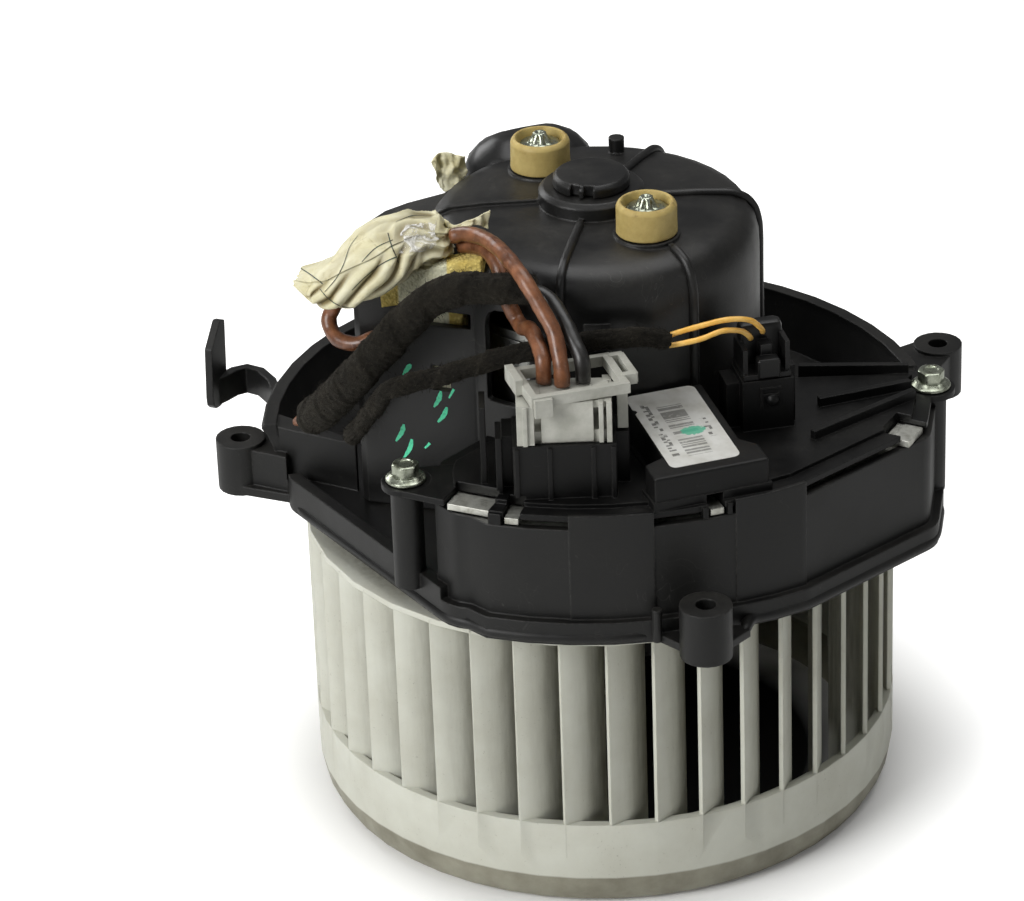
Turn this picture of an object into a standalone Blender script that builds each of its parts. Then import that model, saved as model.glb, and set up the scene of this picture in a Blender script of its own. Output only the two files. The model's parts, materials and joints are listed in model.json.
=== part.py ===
"""Car cabin blower motor: squirrel-cage fan wheel, brushed motor, mounting flange,
motor cover with its cooling-air duct, built-in fan controller and a stub of harness.

Metres, +Z up. Heights are given above the wheel's bottom edge. The root empty moves
them so that the origin is the centre of the shaft's free end, on the motor axis.
+X and -Y face the front of the controller, where its plugs are.
"""
import math

import bmesh
import bpy
from mathutils import Matrix, Vector

# Facets round the big turned pieces
ROUND = 32
RIM_STEPS = 48

# Shaft and hub
SHAFT_RADIUS = 0.0040
SHAFT_END = 0.0220
SHAFT_TOP = 0.1580
HUB_RADIUS = 0.0085
HUB_BOTTOM = 0.0255
HUB_TOP = 0.0500
HUB_RIB_COUNT = 6
HUB_RIB_WALL = 0.0016
CLIP_RADIUS = 0.0105
CLIP_WALL = 0.0007
CLEARANCE = 0.0003

# Fan wheel
WHEEL_RADIUS = 0.0825
WHEEL_TOP = 0.0850
BAND_TOP = 0.0268
BAND_WALL = 0.0024
LIP_HEIGHT = 0.0099
LIP_DEPTH = 0.0057
CONE_WALL = 0.0018
BLADE_COUNT = 41
BLADE_DEPTH = 0.0102
BLADE_WALL = 0.0013
BLADE_BOTTOM = 0.0160
BLADE_LEAN_OUTER = math.radians(60)
BLADE_LEAN_INNER = math.radians(12)
BLADE_PHASE = math.radians(-90.9)

# Mounting flange
SKIRT_BOTTOM = 0.0889
FLOOR_TOP = 0.0954
FLOOR_WALL = 0.0026
WALL = 0.0022
BACK_RADIUS = 0.0885
FRONT_RADIUS = 0.0915
RIM_RADIUS = 0.0930
RIM_TOP = 0.1110
RIM_LIP = 0.0036
LOW_RIM_TOP = 0.0990
LOW_RIM_WALL = 0.0036
POCKET_INSET = 0.0024
POCKET_TOP = 0.1220
PANEL_TOP = 0.1263
LUG_RADIUS = 0.0070
LUG_BORE_RADIUS = 0.0028
LUG_TOP = 0.1039
LUG_CENTRES = {"left": (-0.1000, 0.0050), "right": (0.0996, 0.0470), "front": (0.0246, -0.0980)}
POST_RADIUS = 0.0043
SCREW_CENTRES = {"left": (-0.0525, -0.0640), "right": (0.0905, -0.0215)}

# Motor
CAN_RADIUS = 0.0370
CAN_WALL = 0.0016
CAN_BOTTOM = 0.0660
CAN_TOP = 0.1480
CUP_WALL = 0.0022
BEARING_RADIUS = 0.0078
BEARING_HEIGHT = 0.0056
ARMATURE_RADIUS = 0.0272
ARMATURE_BOTTOM = 0.0860
ARMATURE_TOP = 0.1240
SLOT_COUNT = 12
COMMUTATOR_RADIUS = 0.0110
COMMUTATOR_BOTTOM = 0.1310
COMMUTATOR_TOP = 0.1440
MAGNET_WALL = 0.0062

# Motor cover and its duct
DOME_RADIUS = 0.0455
DOME_SHOULDER = 0.1605
DOME_TOP = 0.1752
COVER_WALL = 0.0022
TURRET_RADIUS = 0.0145
TURRET_TOP = 0.1800
CAP_RADIUS = 0.0105
CAP_TOP = 0.1836
DUCT_RADIUS = 0.0660
DUCT_TOP = 0.1700
DUCT_SLOPE = 0.19
ELBOW_RADIUS = 0.0140
ELBOW_RING = 0.0460
ELBOW_HEIGHT = 0.1634
ELBOW_START = math.radians(118)
ELBOW_STOP = math.radians(104)
RIB_HEIGHT = 0.0010
RIB_WALL = 0.0014
DAMPER_RADIUS = 0.0082
DAMPER_BORE = 0.0060
DAMPER_BOTTOM = 0.1758
DAMPER_TOP = 0.1846
DAMPER_RING = 0.0261
DAMPER_AZIMUTH = {"rear": math.radians(120.8), "front": math.radians(-57.5)}
SEAT_RADIUS = 0.0090
DAMPER_SCREW_RADIUS = 0.0024

# Controller
COVER_BOTTOM = 0.1239
COVER_PLATE_TOP = 0.1256
STEP_TOP = 0.1268
TOWER_TOP = 0.1422
LABEL_CORNER = (0.0170, -0.0814)
LABEL_TURN = math.radians(17.5)
LABEL_SLOPE = 0.097
LABEL_FRONT_TOP = 0.1353
SIGNAL_CORNER = (0.0378, -0.0466)
SIGNAL_TURN = math.radians(11)
SIGNAL_SOCKET_TOP = 0.1415
LOCK_CENTRE = (-0.0083, -0.0690)
LOCK_TURN = math.radians(15.5)
PLUG_TOP = 0.1540
SINK_TOP = 0.1214
TAB_TOP = 0.1241
SINK_WALL = 0.0040
FIN_COUNT = 9
FIN_INNER = 0.0620
FIN_OUTER = 0.0790
BOARD_WALL = 0.0016
HEX_FLANGE_RADIUS = 0.0052
HEX_ACROSS = 0.0080

# Harness
POWER_WIRE_RADIUS = 0.0021
SIGNAL_WIRE_RADIUS = 0.00085
SHEATH_RADIUS = 0.0058
SHEATH_NARROW = 0.78
BRANCH_RADIUS = 0.0033

PLASTIC_BLACK = ("flange plastic", (0.022, 0.022, 0.023), 0.5, 0.0)
PLASTIC_COVER = ("cover plastic", (0.030, 0.030, 0.031), 0.45, 0.0)
PLASTIC_WHITE = ("wheel plastic", (0.72, 0.71, 0.64), 0.5, 0.0)
PLASTIC_PLUG = ("white plug plastic", (0.62, 0.62, 0.60), 0.45, 0.0)
RUBBER_CREAM = ("cream rubber", (0.62, 0.52, 0.28), 0.7, 0.0)
STEEL = ("zinc plated steel", (0.60, 0.60, 0.57), 0.35, 1.0)
CAN_STEEL = ("drawn steel", (0.42, 0.42, 0.42), 0.4, 1.0)
ALUMINIUM = ("cast aluminium", (0.75, 0.75, 0.75), 0.45, 1.0)
FERRITE = ("ferrite", (0.03, 0.03, 0.03), 0.7, 0.0)
COPPER = ("copper", (0.72, 0.35, 0.18), 0.35, 1.0)
CARBON = ("carbon", (0.04, 0.04, 0.04), 0.8, 0.0)
BRONZE = ("sintered bronze", (0.45, 0.30, 0.14), 0.5, 1.0)
BOARD_GREEN = ("circuit board", (0.02, 0.16, 0.06), 0.5, 0.0)
FOAM = ("yellow foam", (0.72, 0.60, 0.25), 0.9, 0.0)
FLEECE = ("fleece tape", (0.020, 0.019, 0.017), 0.95, 0.0)
BROWN_SLEEVE = ("brown wire", (0.20, 0.07, 0.03), 0.45, 0.0)
BLACK_SLEEVE = ("black wire", (0.02, 0.02, 0.02), 0.45, 0.0)
YELLOW_SLEEVE = ("yellow wire", (0.80, 0.50, 0.06), 0.45, 0.0)
TAPE = ("cream tape", (0.75, 0.72, 0.60), 0.7, 0.0)


def clear_scene():
    for old in list(bpy.data.objects):
        bpy.data.objects.remove(old, do_unlink=True)


def material_for(finish):
    label, colour, roughness, metallic = finish
    found = bpy.data.materials.get(label)
    if found:
        return found
    made = bpy.data.materials.new(label)
    made.use_nodes = True
    shader = made.node_tree.nodes["Principled BSDF"]
    shader.inputs["Base Color"].default_value = (*colour, 1.0)
    shader.inputs["Roughness"].default_value = roughness
    shader.inputs["Metallic"].default_value = metallic
    return made


def new_collection(label):
    made = bpy.data.collections.new(label)
    bpy.context.scene.collection.children.link(made)
    return made


clear_scene()
PARTS = new_collection("blower_motor")
GUIDES = new_collection("cutters")
ROOT = bpy.data.objects.new("shaft_end_origin", None)
ROOT.location = (0.0, 0.0, -SHAFT_END)
PARTS.objects.link(ROOT)


def place(name, data, finish=None):
    """Make an object: a part when it has a finish, otherwise a guide for Booleans."""
    obj = bpy.data.objects.new(name, data)
    obj.parent = ROOT
    if finish:
        PARTS.objects.link(obj)
        data.materials.append(material_for(finish))
    else:
        GUIDES.objects.link(obj)
        obj.hide_render = True
        obj.display_type = "WIRE"
    return obj


def mesh_from(name, bm):
    mesh = bpy.data.meshes.new(name)
    bmesh.ops.recalc_face_normals(bm, faces=bm.faces)
    bm.to_mesh(mesh)
    bm.free()
    return mesh


def smooth(obj, degrees=38):
    obj.data.shade_smooth()
    obj.data.set_sharp_from_angle(angle=math.radians(degrees))


def polar(radius, azimuth):
    return (radius * math.cos(azimuth), radius * math.sin(azimuth))


def arc(radius, start, end, steps, centre=(0.0, 0.0)):
    """Points on an arc, with the angles in degrees."""
    points = []
    for i in range(steps + 1):
        x, y = polar(radius, math.radians(start + (end - start) * i / steps))
        points.append((centre[0] + x, centre[1] + y))
    return points


def rounded(corners, steps=3):
    """Outline from (x, y, fillet radius) corners."""
    points = []
    count = len(corners)
    for i, (x, y, radius) in enumerate(corners):
        here = Vector((x, y))
        before = (Vector(corners[i - 1][:2]) - here)
        after = (Vector(corners[(i + 1) % count][:2]) - here)
        if radius == 0:
            points.append((x, y))
            continue
        half = before.angle(after) / 2
        back = min(radius / math.tan(half), 0.49 * before.length, 0.49 * after.length)
        a = here + before.normalized() * back
        b = here + after.normalized() * back
        for k in range(steps + 1):
            t = k / steps
            point = a * (1 - t) ** 2 + here * 2 * t * (1 - t) + b * t ** 2
            points.append((point.x, point.y))
    return points


def signed_area(points):
    total = 0.0
    for (x0, y0), (x1, y1) in zip(points, points[1:] + points[:1]):
        total += x0 * y1 - x1 * y0
    return total / 2


def inset(points, distance):
    """The outline moved inward by a distance, corner by corner."""
    side = 1.0 if signed_area(points) > 0 else -1.0
    count = len(points)
    moved = []
    for i in range(count):
        here = Vector(points[i])
        first = (here - Vector(points[i - 1])).normalized()
        second = (Vector(points[(i + 1) % count]) - here).normalized()
        n1 = Vector((-first.y, first.x)) * side
        n2 = Vector((-second.y, second.x)) * side
        step = (n1 + n2) / max(0.35, 1.0 + n1.dot(n2))
        moved.append((here.x + step.x * distance, here.y + step.y * distance))
    return moved


def plate(name, outline, bottom, top, finish=None):
    """A flat outline given a thickness from a filled 2D curve."""
    curve = bpy.data.curves.new(name + "_curve", "CURVE")
    curve.dimensions = "2D"
    curve.fill_mode = "BOTH"
    curve.extrude = (top - bottom) / 2
    spline = curve.splines.new("POLY")
    spline.points.add(len(outline) - 1)
    for point, (x, y) in zip(spline.points, outline):
        point.co = (x, y, 0.0, 1.0)
    spline.use_cyclic_u = True
    sketch = bpy.data.objects.new(name + "_sketch", curve)
    mesh = bpy.data.meshes.new_from_object(sketch)
    bpy.data.objects.remove(sketch, do_unlink=True)
    bm = bmesh.new()
    bm.from_mesh(mesh)
    bpy.data.meshes.remove(mesh)
    bmesh.ops.remove_doubles(bm, verts=bm.verts, dist=1e-6)
    bmesh.ops.translate(bm, verts=bm.verts, vec=(0, 0, (bottom + top) / 2))
    return place(name, mesh_from(name, bm), finish)


def turned(name, profile, steps, finish=None):
    """A revolved profile of (radius, height) points."""
    on_axis = profile[0][0] == 0.0 and profile[-1][0] == 0.0
    points = list(profile)
    if signed_area(points) > 0:
        points.reverse()
    bm = bmesh.new()
    verts = [bm.verts.new((r, 0.0, z)) for r, z in points]
    for first, second in zip(verts, verts[1:]):
        bm.edges.new((first, second))
    if not on_axis:
        bm.edges.new((verts[-1], verts[0]))
    mesh = bpy.data.meshes.new(name)
    bm.to_mesh(mesh)
    bm.free()
    obj = place(name, mesh, finish)
    screw = obj.modifiers.new("turn", "SCREW")
    screw.axis = "Z"
    screw.angle = math.tau
    screw.steps = steps
    screw.render_steps = steps
    screw.use_merge_vertices = True
    screw.merge_threshold = 1e-5
    screw.use_smooth_shade = True
    return obj


def shell_loop(points, wall):
    """A closed profile: the points and the same line a wall's thickness to their left."""
    inner = []
    last = len(points) - 1
    for i, (r, z) in enumerate(points):
        before = Vector(points[max(0, i - 1)])
        after = Vector(points[min(last, i + 1)])
        along = (after - before).normalized()
        inner.append((max(0.0, r - along.y * wall), z + along.x * wall))
    return list(points) + inner[::-1]


def cylinder(name, centre, bottom, top, radius, steps=24, finish=None, top_radius=None):
    bm = bmesh.new()
    bmesh.ops.create_cone(
        bm, cap_ends=True, segments=steps, radius1=radius,
        radius2=radius if top_radius is None else top_radius, depth=top - bottom,
        matrix=Matrix.Translation((centre[0], centre[1], (bottom + top) / 2)))
    return place(name, mesh_from(name, bm), finish)


def box(name, low, high, finish=None, turn=0.0, about=(0.0, 0.0)):
    """A box between two corners, turned about a vertical line."""
    bm = bmesh.new()
    size = [high[k] - low[k] for k in range(3)]
    middle = [(high[k] + low[k]) / 2 for k in range(3)]
    pivot = Vector((about[0], about[1], 0.0))
    matrix = (Matrix.Translation(pivot) @ Matrix.Rotation(turn, 4, "Z")
              @ Matrix.Translation(Vector(middle) - pivot) @ Matrix.Diagonal((*size, 1.0)))
    bmesh.ops.create_cube(bm, size=1.0, matrix=matrix)
    return place(name, mesh_from(name, bm), finish)


def turned_box(name, corner, turn, low, high, finish=None):
    """A box measured from a corner that is turned in plan."""
    start = (corner[0] + low[0], corner[1] + low[1], low[2])
    stop = (corner[0] + high[0], corner[1] + high[1], high[2])
    return box(name, start, stop, finish, turn, corner)


def turned_outline(corner, turn, points):
    """Plan points measured from a corner that is turned in plan."""
    across = Vector((math.cos(turn), math.sin(turn)))
    back = Vector((-math.sin(turn), math.cos(turn)))
    origin = Vector(corner)
    return [tuple(origin + across * u + back * v) for u, v in points]


def radial_box(name, azimuth, inner, outer, width, bottom, top, finish=None):
    """A box that points outward from the axis."""
    return box(name, (inner, -width / 2, bottom), (outer, width / 2, top), finish, turn=azimuth)


def combine(obj, operation, tools, label):
    """One Boolean of the object with all the tools."""
    group = bpy.data.collections.new(f"{obj.name}_{label}")
    GUIDES.children.link(group)
    for tool in tools:
        GUIDES.objects.unlink(tool)
        group.objects.link(tool)
    boolean = obj.modifiers.new(label, "BOOLEAN")
    boolean.operation = operation
    boolean.solver = "EXACT"
    boolean.operand_type = "COLLECTION"
    boolean.collection = group
    return obj


def join(obj, tools, label="joined"):
    return combine(obj, "UNION", tools, label)


def cut(obj, tools, label="cuts"):
    return combine(obj, "DIFFERENCE", tools, label)


def soften(obj, width, segments=2, degrees=40):
    bevel = obj.modifiers.new("edges", "BEVEL")
    bevel.width = width
    bevel.segments = segments
    bevel.limit_method = "ANGLE"
    bevel.angle_limit = math.radians(degrees)
    bevel.harden_normals = False
    return obj


def route_line(points, spacing):
    """A smooth line through the points, read at even distances."""
    knots = [Vector(p) for p in points]
    knots = [knots[0] * 2 - knots[1]] + knots + [knots[-1] * 2 - knots[-2]]
    dense = []
    for a, b, c, d in zip(knots, knots[1:], knots[2:], knots[3:]):
        for k in range(12):
            t = k / 12
            dense.append(0.5 * (2 * b + (c - a) * t + (2 * a - 5 * b + 4 * c - d) * t ** 2
                                + (3 * b - a - 3 * c + d) * t ** 3))
    dense.append(knots[-2].copy())
    length = sum((q - p).length for p, q in zip(dense, dense[1:]))
    count = max(3, round(length / spacing))
    line = [dense[0]]
    walked = 0.0
    for p, q in zip(dense, dense[1:]):
        step = (q - p).length
        while len(line) < count and walked + step >= length * len(line) / count - 1e-9:
            line.append(p.lerp(q, (length * len(line) / count - walked) / step))
        walked += step
    line.append(dense[-1])
    return line


def lead(name, route, radius, finish, spacing=None, narrow=1.0):
    """A wire or taped bundle: a round tube along its route, which may start narrower."""
    curve = bpy.data.curves.new(name, "CURVE")
    curve.dimensions = "3D"
    curve.bevel_depth = radius
    curve.bevel_resolution = 2
    curve.use_fill_caps = True
    line = route_line(route, spacing or min(0.0120, max(0.0035, 3.2 * radius)))
    spline = curve.splines.new("POLY")
    spline.points.add(len(line) - 1)
    for i, (point, co) in enumerate(zip(spline.points, line)):
        point.co = (*co, 1.0)
        point.radius = 1.0 - (1.0 - narrow) * max(0.0, 1.0 - 2.2 * i / len(line))
    return place(name, curve, finish)


# Outlines that several pieces share

def front_outline():
    """Lower outline of the flange, counter-clockwise from the left lug round the front."""
    corners = [(-0.0890, 0.0060, 0), (-0.0862, -0.0110, 0.010), (-0.0420, -0.0795, 0.012)]
    points = rounded([(-0.0885, 0.0300, 0)] + corners + [(0.0, -0.0900, 0)])
    left = [p for p in points if p[1] > -0.0855 and p[0] < -0.0300]
    front = arc(FRONT_RADIUS, -111, -68, 6)
    right = rounded([(0.0440, -0.0815, 0), (0.0530, -0.0770, 0.010), (0.0905, -0.0450, 0.010),
                     (0.0945, -0.0220, 0.010), (0.0890, 0.0060, 0.010), (0.0862, 0.0170, 0)])
    return left + front + right


def flange_outline():
    back = arc(BACK_RADIUS, 14, 160, 20)
    return front_outline() + back


def pocket_outline():
    """Outer outline of the controller pocket: the skirt's outline inset by the ledge."""
    outer = [p for p in inset(flange_outline(), POCKET_INSET) if p[1] < -0.0200 and p[0] > -0.0425]
    left = [(-0.0440, -0.0540), (-0.0452, -0.0600), (-0.0450, -0.0705)]
    right = [(0.0915, -0.0140), (0.0860, -0.0105)]
    return left + outer + right + arc(0.0500, -12, -128, 10)


# Heat sink tabs that rest on the pocket wall: azimuth in degrees and width
TABS = [(-114.9, 0.0122), (-106.5, 0.0036), (-71, 0.0036), (-29, 0.0090)]


def make_fan_wheel():
    wheel_inner = WHEEL_RADIUS - BLADE_DEPTH
    lip_radius = WHEEL_RADIUS - LIP_DEPTH
    band_line = [(WHEEL_RADIUS, BAND_TOP), (WHEEL_RADIUS, LIP_HEIGHT),
                 (WHEEL_RADIUS - 0.16 * LIP_DEPTH, 0.50 * LIP_HEIGHT),
                 (WHEEL_RADIUS - 0.50 * LIP_DEPTH, 0.14 * LIP_HEIGHT), (lip_radius, 0.0)]
    inside = [(lip_radius - BAND_WALL, 0.0), (lip_radius - 0.4 * BAND_WALL, BAND_WALL),
              (WHEEL_RADIUS - BAND_WALL, 0.62 * LIP_HEIGHT + BAND_WALL),
              (WHEEL_RADIUS - BAND_WALL, BAND_TOP)]
    wheel = turned("fan_wheel", band_line + inside, RIM_STEPS, PLASTIC_WHITE)

    cone_line = [(WHEEL_RADIUS, WHEEL_TOP), (wheel_inner - 0.006, WHEEL_TOP),
                 (0.0530, 0.0765), (0.0465, 0.0610), (0.0360, 0.0530),
                 (SHAFT_RADIUS + CLEARANCE, 0.0450)]
    cone = turned("wheel_cone", shell_loop(cone_line, CONE_WALL), ROUND)
    hub = turned("wheel_hub", [(SHAFT_RADIUS + CLEARANCE, HUB_TOP), (HUB_RADIUS, HUB_TOP),
                               (HUB_RADIUS, HUB_BOTTOM), (SHAFT_RADIUS + CLEARANCE, HUB_BOTTOM)], 20)
    blades = blade_ring()
    ribs = []
    for i in range(HUB_RIB_COUNT):
        ribs.append(hub_rib(i))
    join(wheel, [blades, cone, hub] + ribs)
    return wheel


def blade_outline():
    """Section of the blade at azimuth zero, leaning further the nearer the rim."""
    outer = WHEEL_RADIUS - 0.25 * BAND_WALL
    stations = 3
    angle = 0.0
    line = []
    for i in range(stations + 1):
        t = i / stations
        radius = outer - BLADE_DEPTH * t
        lean = BLADE_LEAN_OUTER + (BLADE_LEAN_INNER - BLADE_LEAN_OUTER) * t
        line.append(Vector(polar(radius, angle)))
        angle += math.tan(lean) * BLADE_DEPTH / stations / radius
    sides = ([], [])
    for i, point in enumerate(line):
        along = (line[min(i + 1, stations)] - line[max(i - 1, 0)]).normalized()
        across = Vector((-along.y, along.x)) * BLADE_WALL / 2
        sides[0].append(tuple(point + across))
        sides[1].append(tuple(point - across))
    return sides[0] + sides[1][::-1]


def blade_ring():
    one = plate("wheel_blade", blade_outline(), BLADE_BOTTOM, WHEEL_TOP - 0.5 * CONE_WALL)
    bm = bmesh.new()
    for i in range(BLADE_COUNT):
        before = len(bm.verts)
        bm.from_mesh(one.data)
        bm.verts.ensure_lookup_table()
        turn = Matrix.Rotation(BLADE_PHASE + math.tau * i / BLADE_COUNT, 4, "Z")
        bmesh.ops.transform(bm, matrix=turn, verts=bm.verts[before:])
    bpy.data.objects.remove(one, do_unlink=True)
    return place("wheel_blades", mesh_from("wheel_blades", bm))


def hub_rib(index):
    """Upright gusset between the hub sleeve and the underside of the cone."""
    rib = plate(f"wheel_rib_{index}", [(HUB_RADIUS - 0.002, 0.0300), (HUB_RADIUS + 0.002, 0.0300),
                                       (0.0270, 0.0462), (0.0270, 0.0482),
                                       (HUB_RADIUS - 0.002, 0.0460)],
                -HUB_RIB_WALL / 2, HUB_RIB_WALL / 2)
    turn = Matrix.Rotation(math.tau * (index + 0.5) / HUB_RIB_COUNT, 4, "Z")
    rib.data.transform(turn @ Matrix.Rotation(math.pi / 2, 4, "X"))
    return rib


def upright_plate(name, outline, azimuth, wall):
    """An outline of (radius, height) points stood up along an azimuth."""
    fin = plate(name, outline, -wall / 2, wall / 2)
    fin.data.transform(Matrix.Rotation(azimuth, 4, "Z") @ Matrix.Rotation(math.pi / 2, 4, "X"))
    return fin


def make_rotor():
    bore = SHAFT_RADIUS + CLEARANCE
    shaft = turned("motor_shaft", [(0.0, SHAFT_TOP), (SHAFT_RADIUS - 0.0006, SHAFT_TOP),
                                   (SHAFT_RADIUS, SHAFT_TOP - 0.0006),
                                   (SHAFT_RADIUS, SHAFT_END + 0.0008),
                                   (SHAFT_RADIUS - 0.0008, SHAFT_END), (0.0, SHAFT_END)], 20, STEEL)

    clip_top = HUB_BOTTOM - CLEARANCE
    turned("hub_clip", [(bore, clip_top), (CLIP_RADIUS, clip_top), (CLIP_RADIUS, clip_top - CLIP_WALL),
                        (bore + 0.0016, clip_top - CLIP_WALL), (bore + 0.0006, clip_top - 2 * CLIP_WALL),
                        (bore, clip_top - 2 * CLIP_WALL)], 20, STEEL)

    step = math.tau / SLOT_COUNT
    teeth = []
    for i in range(SLOT_COUNT):
        middle = step * i
        for radius, offset in ((0.0125, -0.34), (0.0240, -0.24), (ARMATURE_RADIUS, -0.45),
                               (ARMATURE_RADIUS, 0.45), (0.0240, 0.24), (0.0125, 0.34)):
            teeth.append(polar(radius, middle + offset * step))
    core = plate("armature", teeth, ARMATURE_BOTTOM, ARMATURE_TOP, CAN_STEEL)
    low = turned("winding_low", [(0.008, ARMATURE_BOTTOM + 0.002), (0.0225, ARMATURE_BOTTOM + 0.002),
                                 (0.0225, ARMATURE_BOTTOM - 0.005), (0.0170, ARMATURE_BOTTOM - 0.009),
                                 (0.008, ARMATURE_BOTTOM - 0.009)], 16)
    high = turned("winding_high", [(0.008, ARMATURE_TOP + 0.0055), (0.0170, ARMATURE_TOP + 0.0055),
                                   (0.0225, ARMATURE_TOP + 0.003), (0.0225, ARMATURE_TOP - 0.002),
                                   (0.008, ARMATURE_TOP - 0.002)], 16)
    join(core, [low, high])
    cut(core, [cylinder("armature_bore", (0, 0), ARMATURE_BOTTOM - 0.02, ARMATURE_TOP + 0.02, bore, 16)])

    bars = turned("commutator", [(bore, COMMUTATOR_TOP), (COMMUTATOR_RADIUS, COMMUTATOR_TOP),
                                 (COMMUTATOR_RADIUS, COMMUTATOR_BOTTOM), (bore, COMMUTATOR_BOTTOM)],
                  24, COPPER)
    slots = []
    for i in range(SLOT_COUNT):
        slots.append(radial_box(f"bar_gap_{i}", step * (i + 0.5), COMMUTATOR_RADIUS - 0.0012,
                                COMMUTATOR_RADIUS + 0.002, 0.0006,
                                COMMUTATOR_BOTTOM - 0.002, COMMUTATOR_TOP + 0.002))
    cut(bars, slots)
    return shaft


def make_motor():
    inner = CAN_RADIUS - CAN_WALL
    neck = BEARING_RADIUS + CLEARANCE
    boss_bottom = CAN_BOTTOM - 0.0050
    can_line = [(CAN_RADIUS, CAN_TOP), (CAN_RADIUS, CAN_BOTTOM + 0.003), (CAN_RADIUS - 0.003, CAN_BOTTOM),
                (neck + CAN_WALL, CAN_BOTTOM), (neck + CAN_WALL, boss_bottom),
                (SHAFT_RADIUS + 0.0010, boss_bottom), (SHAFT_RADIUS + 0.0010, boss_bottom + CAN_WALL),
                (neck, boss_bottom + CAN_WALL), (neck, CAN_BOTTOM + CAN_WALL),
                (inner - 0.003, CAN_BOTTOM + CAN_WALL), (inner, CAN_BOTTOM + CAN_WALL + 0.003),
                (inner, CAN_TOP)]
    turned("motor_can", can_line, ROUND, CAN_STEEL)

    bearing_bottom = boss_bottom + CAN_WALL + CLEARANCE
    bearing("lower_bearing", bearing_bottom)

    plate_bottom = CAN_TOP + CLEARANCE
    plate_top = plate_bottom + 0.0024
    boss_top = plate_top + 0.0060
    end_line = [(neck, plate_bottom), (neck, boss_top - 0.0014), (SHAFT_RADIUS + 0.0010, boss_top - 0.0014),
                (SHAFT_RADIUS + 0.0010, boss_top), (neck + 0.0016, boss_top), (neck + 0.0022, plate_top),
                (CAN_RADIUS, plate_top), (CAN_RADIUS, plate_bottom)]
    end_plate = turned("motor_end_plate", end_line, ROUND, CAN_STEEL)
    posts = []
    bores = []
    for name, azimuth in DAMPER_AZIMUTH.items():
        centre = polar(DAMPER_RING, azimuth)
        posts.append(cylinder(f"post_{name}", centre, plate_bottom + 0.001, plate_top + 0.009, 0.0052, 16))
        bores.append(cylinder(f"post_bore_{name}", centre, plate_top + 0.001, plate_top + 0.012,
                              DAMPER_SCREW_RADIUS + CLEARANCE, 12))
    join(end_plate, posts)
    cut(end_plate, bores)
    bearing("upper_bearing", boss_top - 0.0014 - CLEARANCE - BEARING_HEIGHT)

    for name, middle in (("magnet_left", 180), ("magnet_right", 0)):
        outer = arc(inner - CLEARANCE, middle - 66, middle + 66, 12)
        inside = arc(inner - CLEARANCE - MAGNET_WALL, middle + 66, middle - 66, 12)
        plate(name, outer + inside, ARMATURE_BOTTOM - 0.003, ARMATURE_TOP + 0.003, FERRITE)
    make_brush_gear(inner)


def bearing(name, bottom):
    bore = SHAFT_RADIUS + CLEARANCE
    return turned(name, [(bore, bottom + BEARING_HEIGHT), (BEARING_RADIUS, bottom + BEARING_HEIGHT),
                         (BEARING_RADIUS, bottom), (bore, bottom)], 20, BRONZE)


def make_brush_gear(can_inner):
    card_top = CAN_TOP - 0.0006
    card_bottom = card_top - 0.0018
    brush = (0.0120, 0.0060, 0.0050)
    guide_wall = 0.0010
    start = COMMUTATOR_RADIUS + CLEARANCE
    card = turned("brush_holder", [(COMMUTATOR_RADIUS + 0.001, card_top), (can_inner - CLEARANCE, card_top),
                                   (can_inner - CLEARANCE, card_bottom),
                                   (COMMUTATOR_RADIUS + 0.001, card_bottom)], ROUND, FERRITE)
    guides = []
    tunnels = []
    brush_top = card_bottom - CLEARANCE
    for name, azimuth in (("front", math.radians(-90)), ("rear", math.radians(90))):
        guides.append(radial_box(f"guide_{name}", azimuth, start + 0.0015, start + brush[0] + 0.003,
                                 brush[1] + 2 * (guide_wall + CLEARANCE),
                                 brush_top - brush[2] - CLEARANCE - guide_wall, card_bottom + 0.0005))
        tunnels.append(radial_box(f"tunnel_{name}", azimuth, start - 0.002, start + brush[0] + CLEARANCE,
                                  brush[1] + 2 * CLEARANCE, brush_top - brush[2] - CLEARANCE, card_bottom))
        radial_box(f"brush_{name}", azimuth, start, start + brush[0], brush[1],
                   brush_top - brush[2], brush_top, CARBON)
    join(card, guides)
    cut(card, tunnels)


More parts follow.
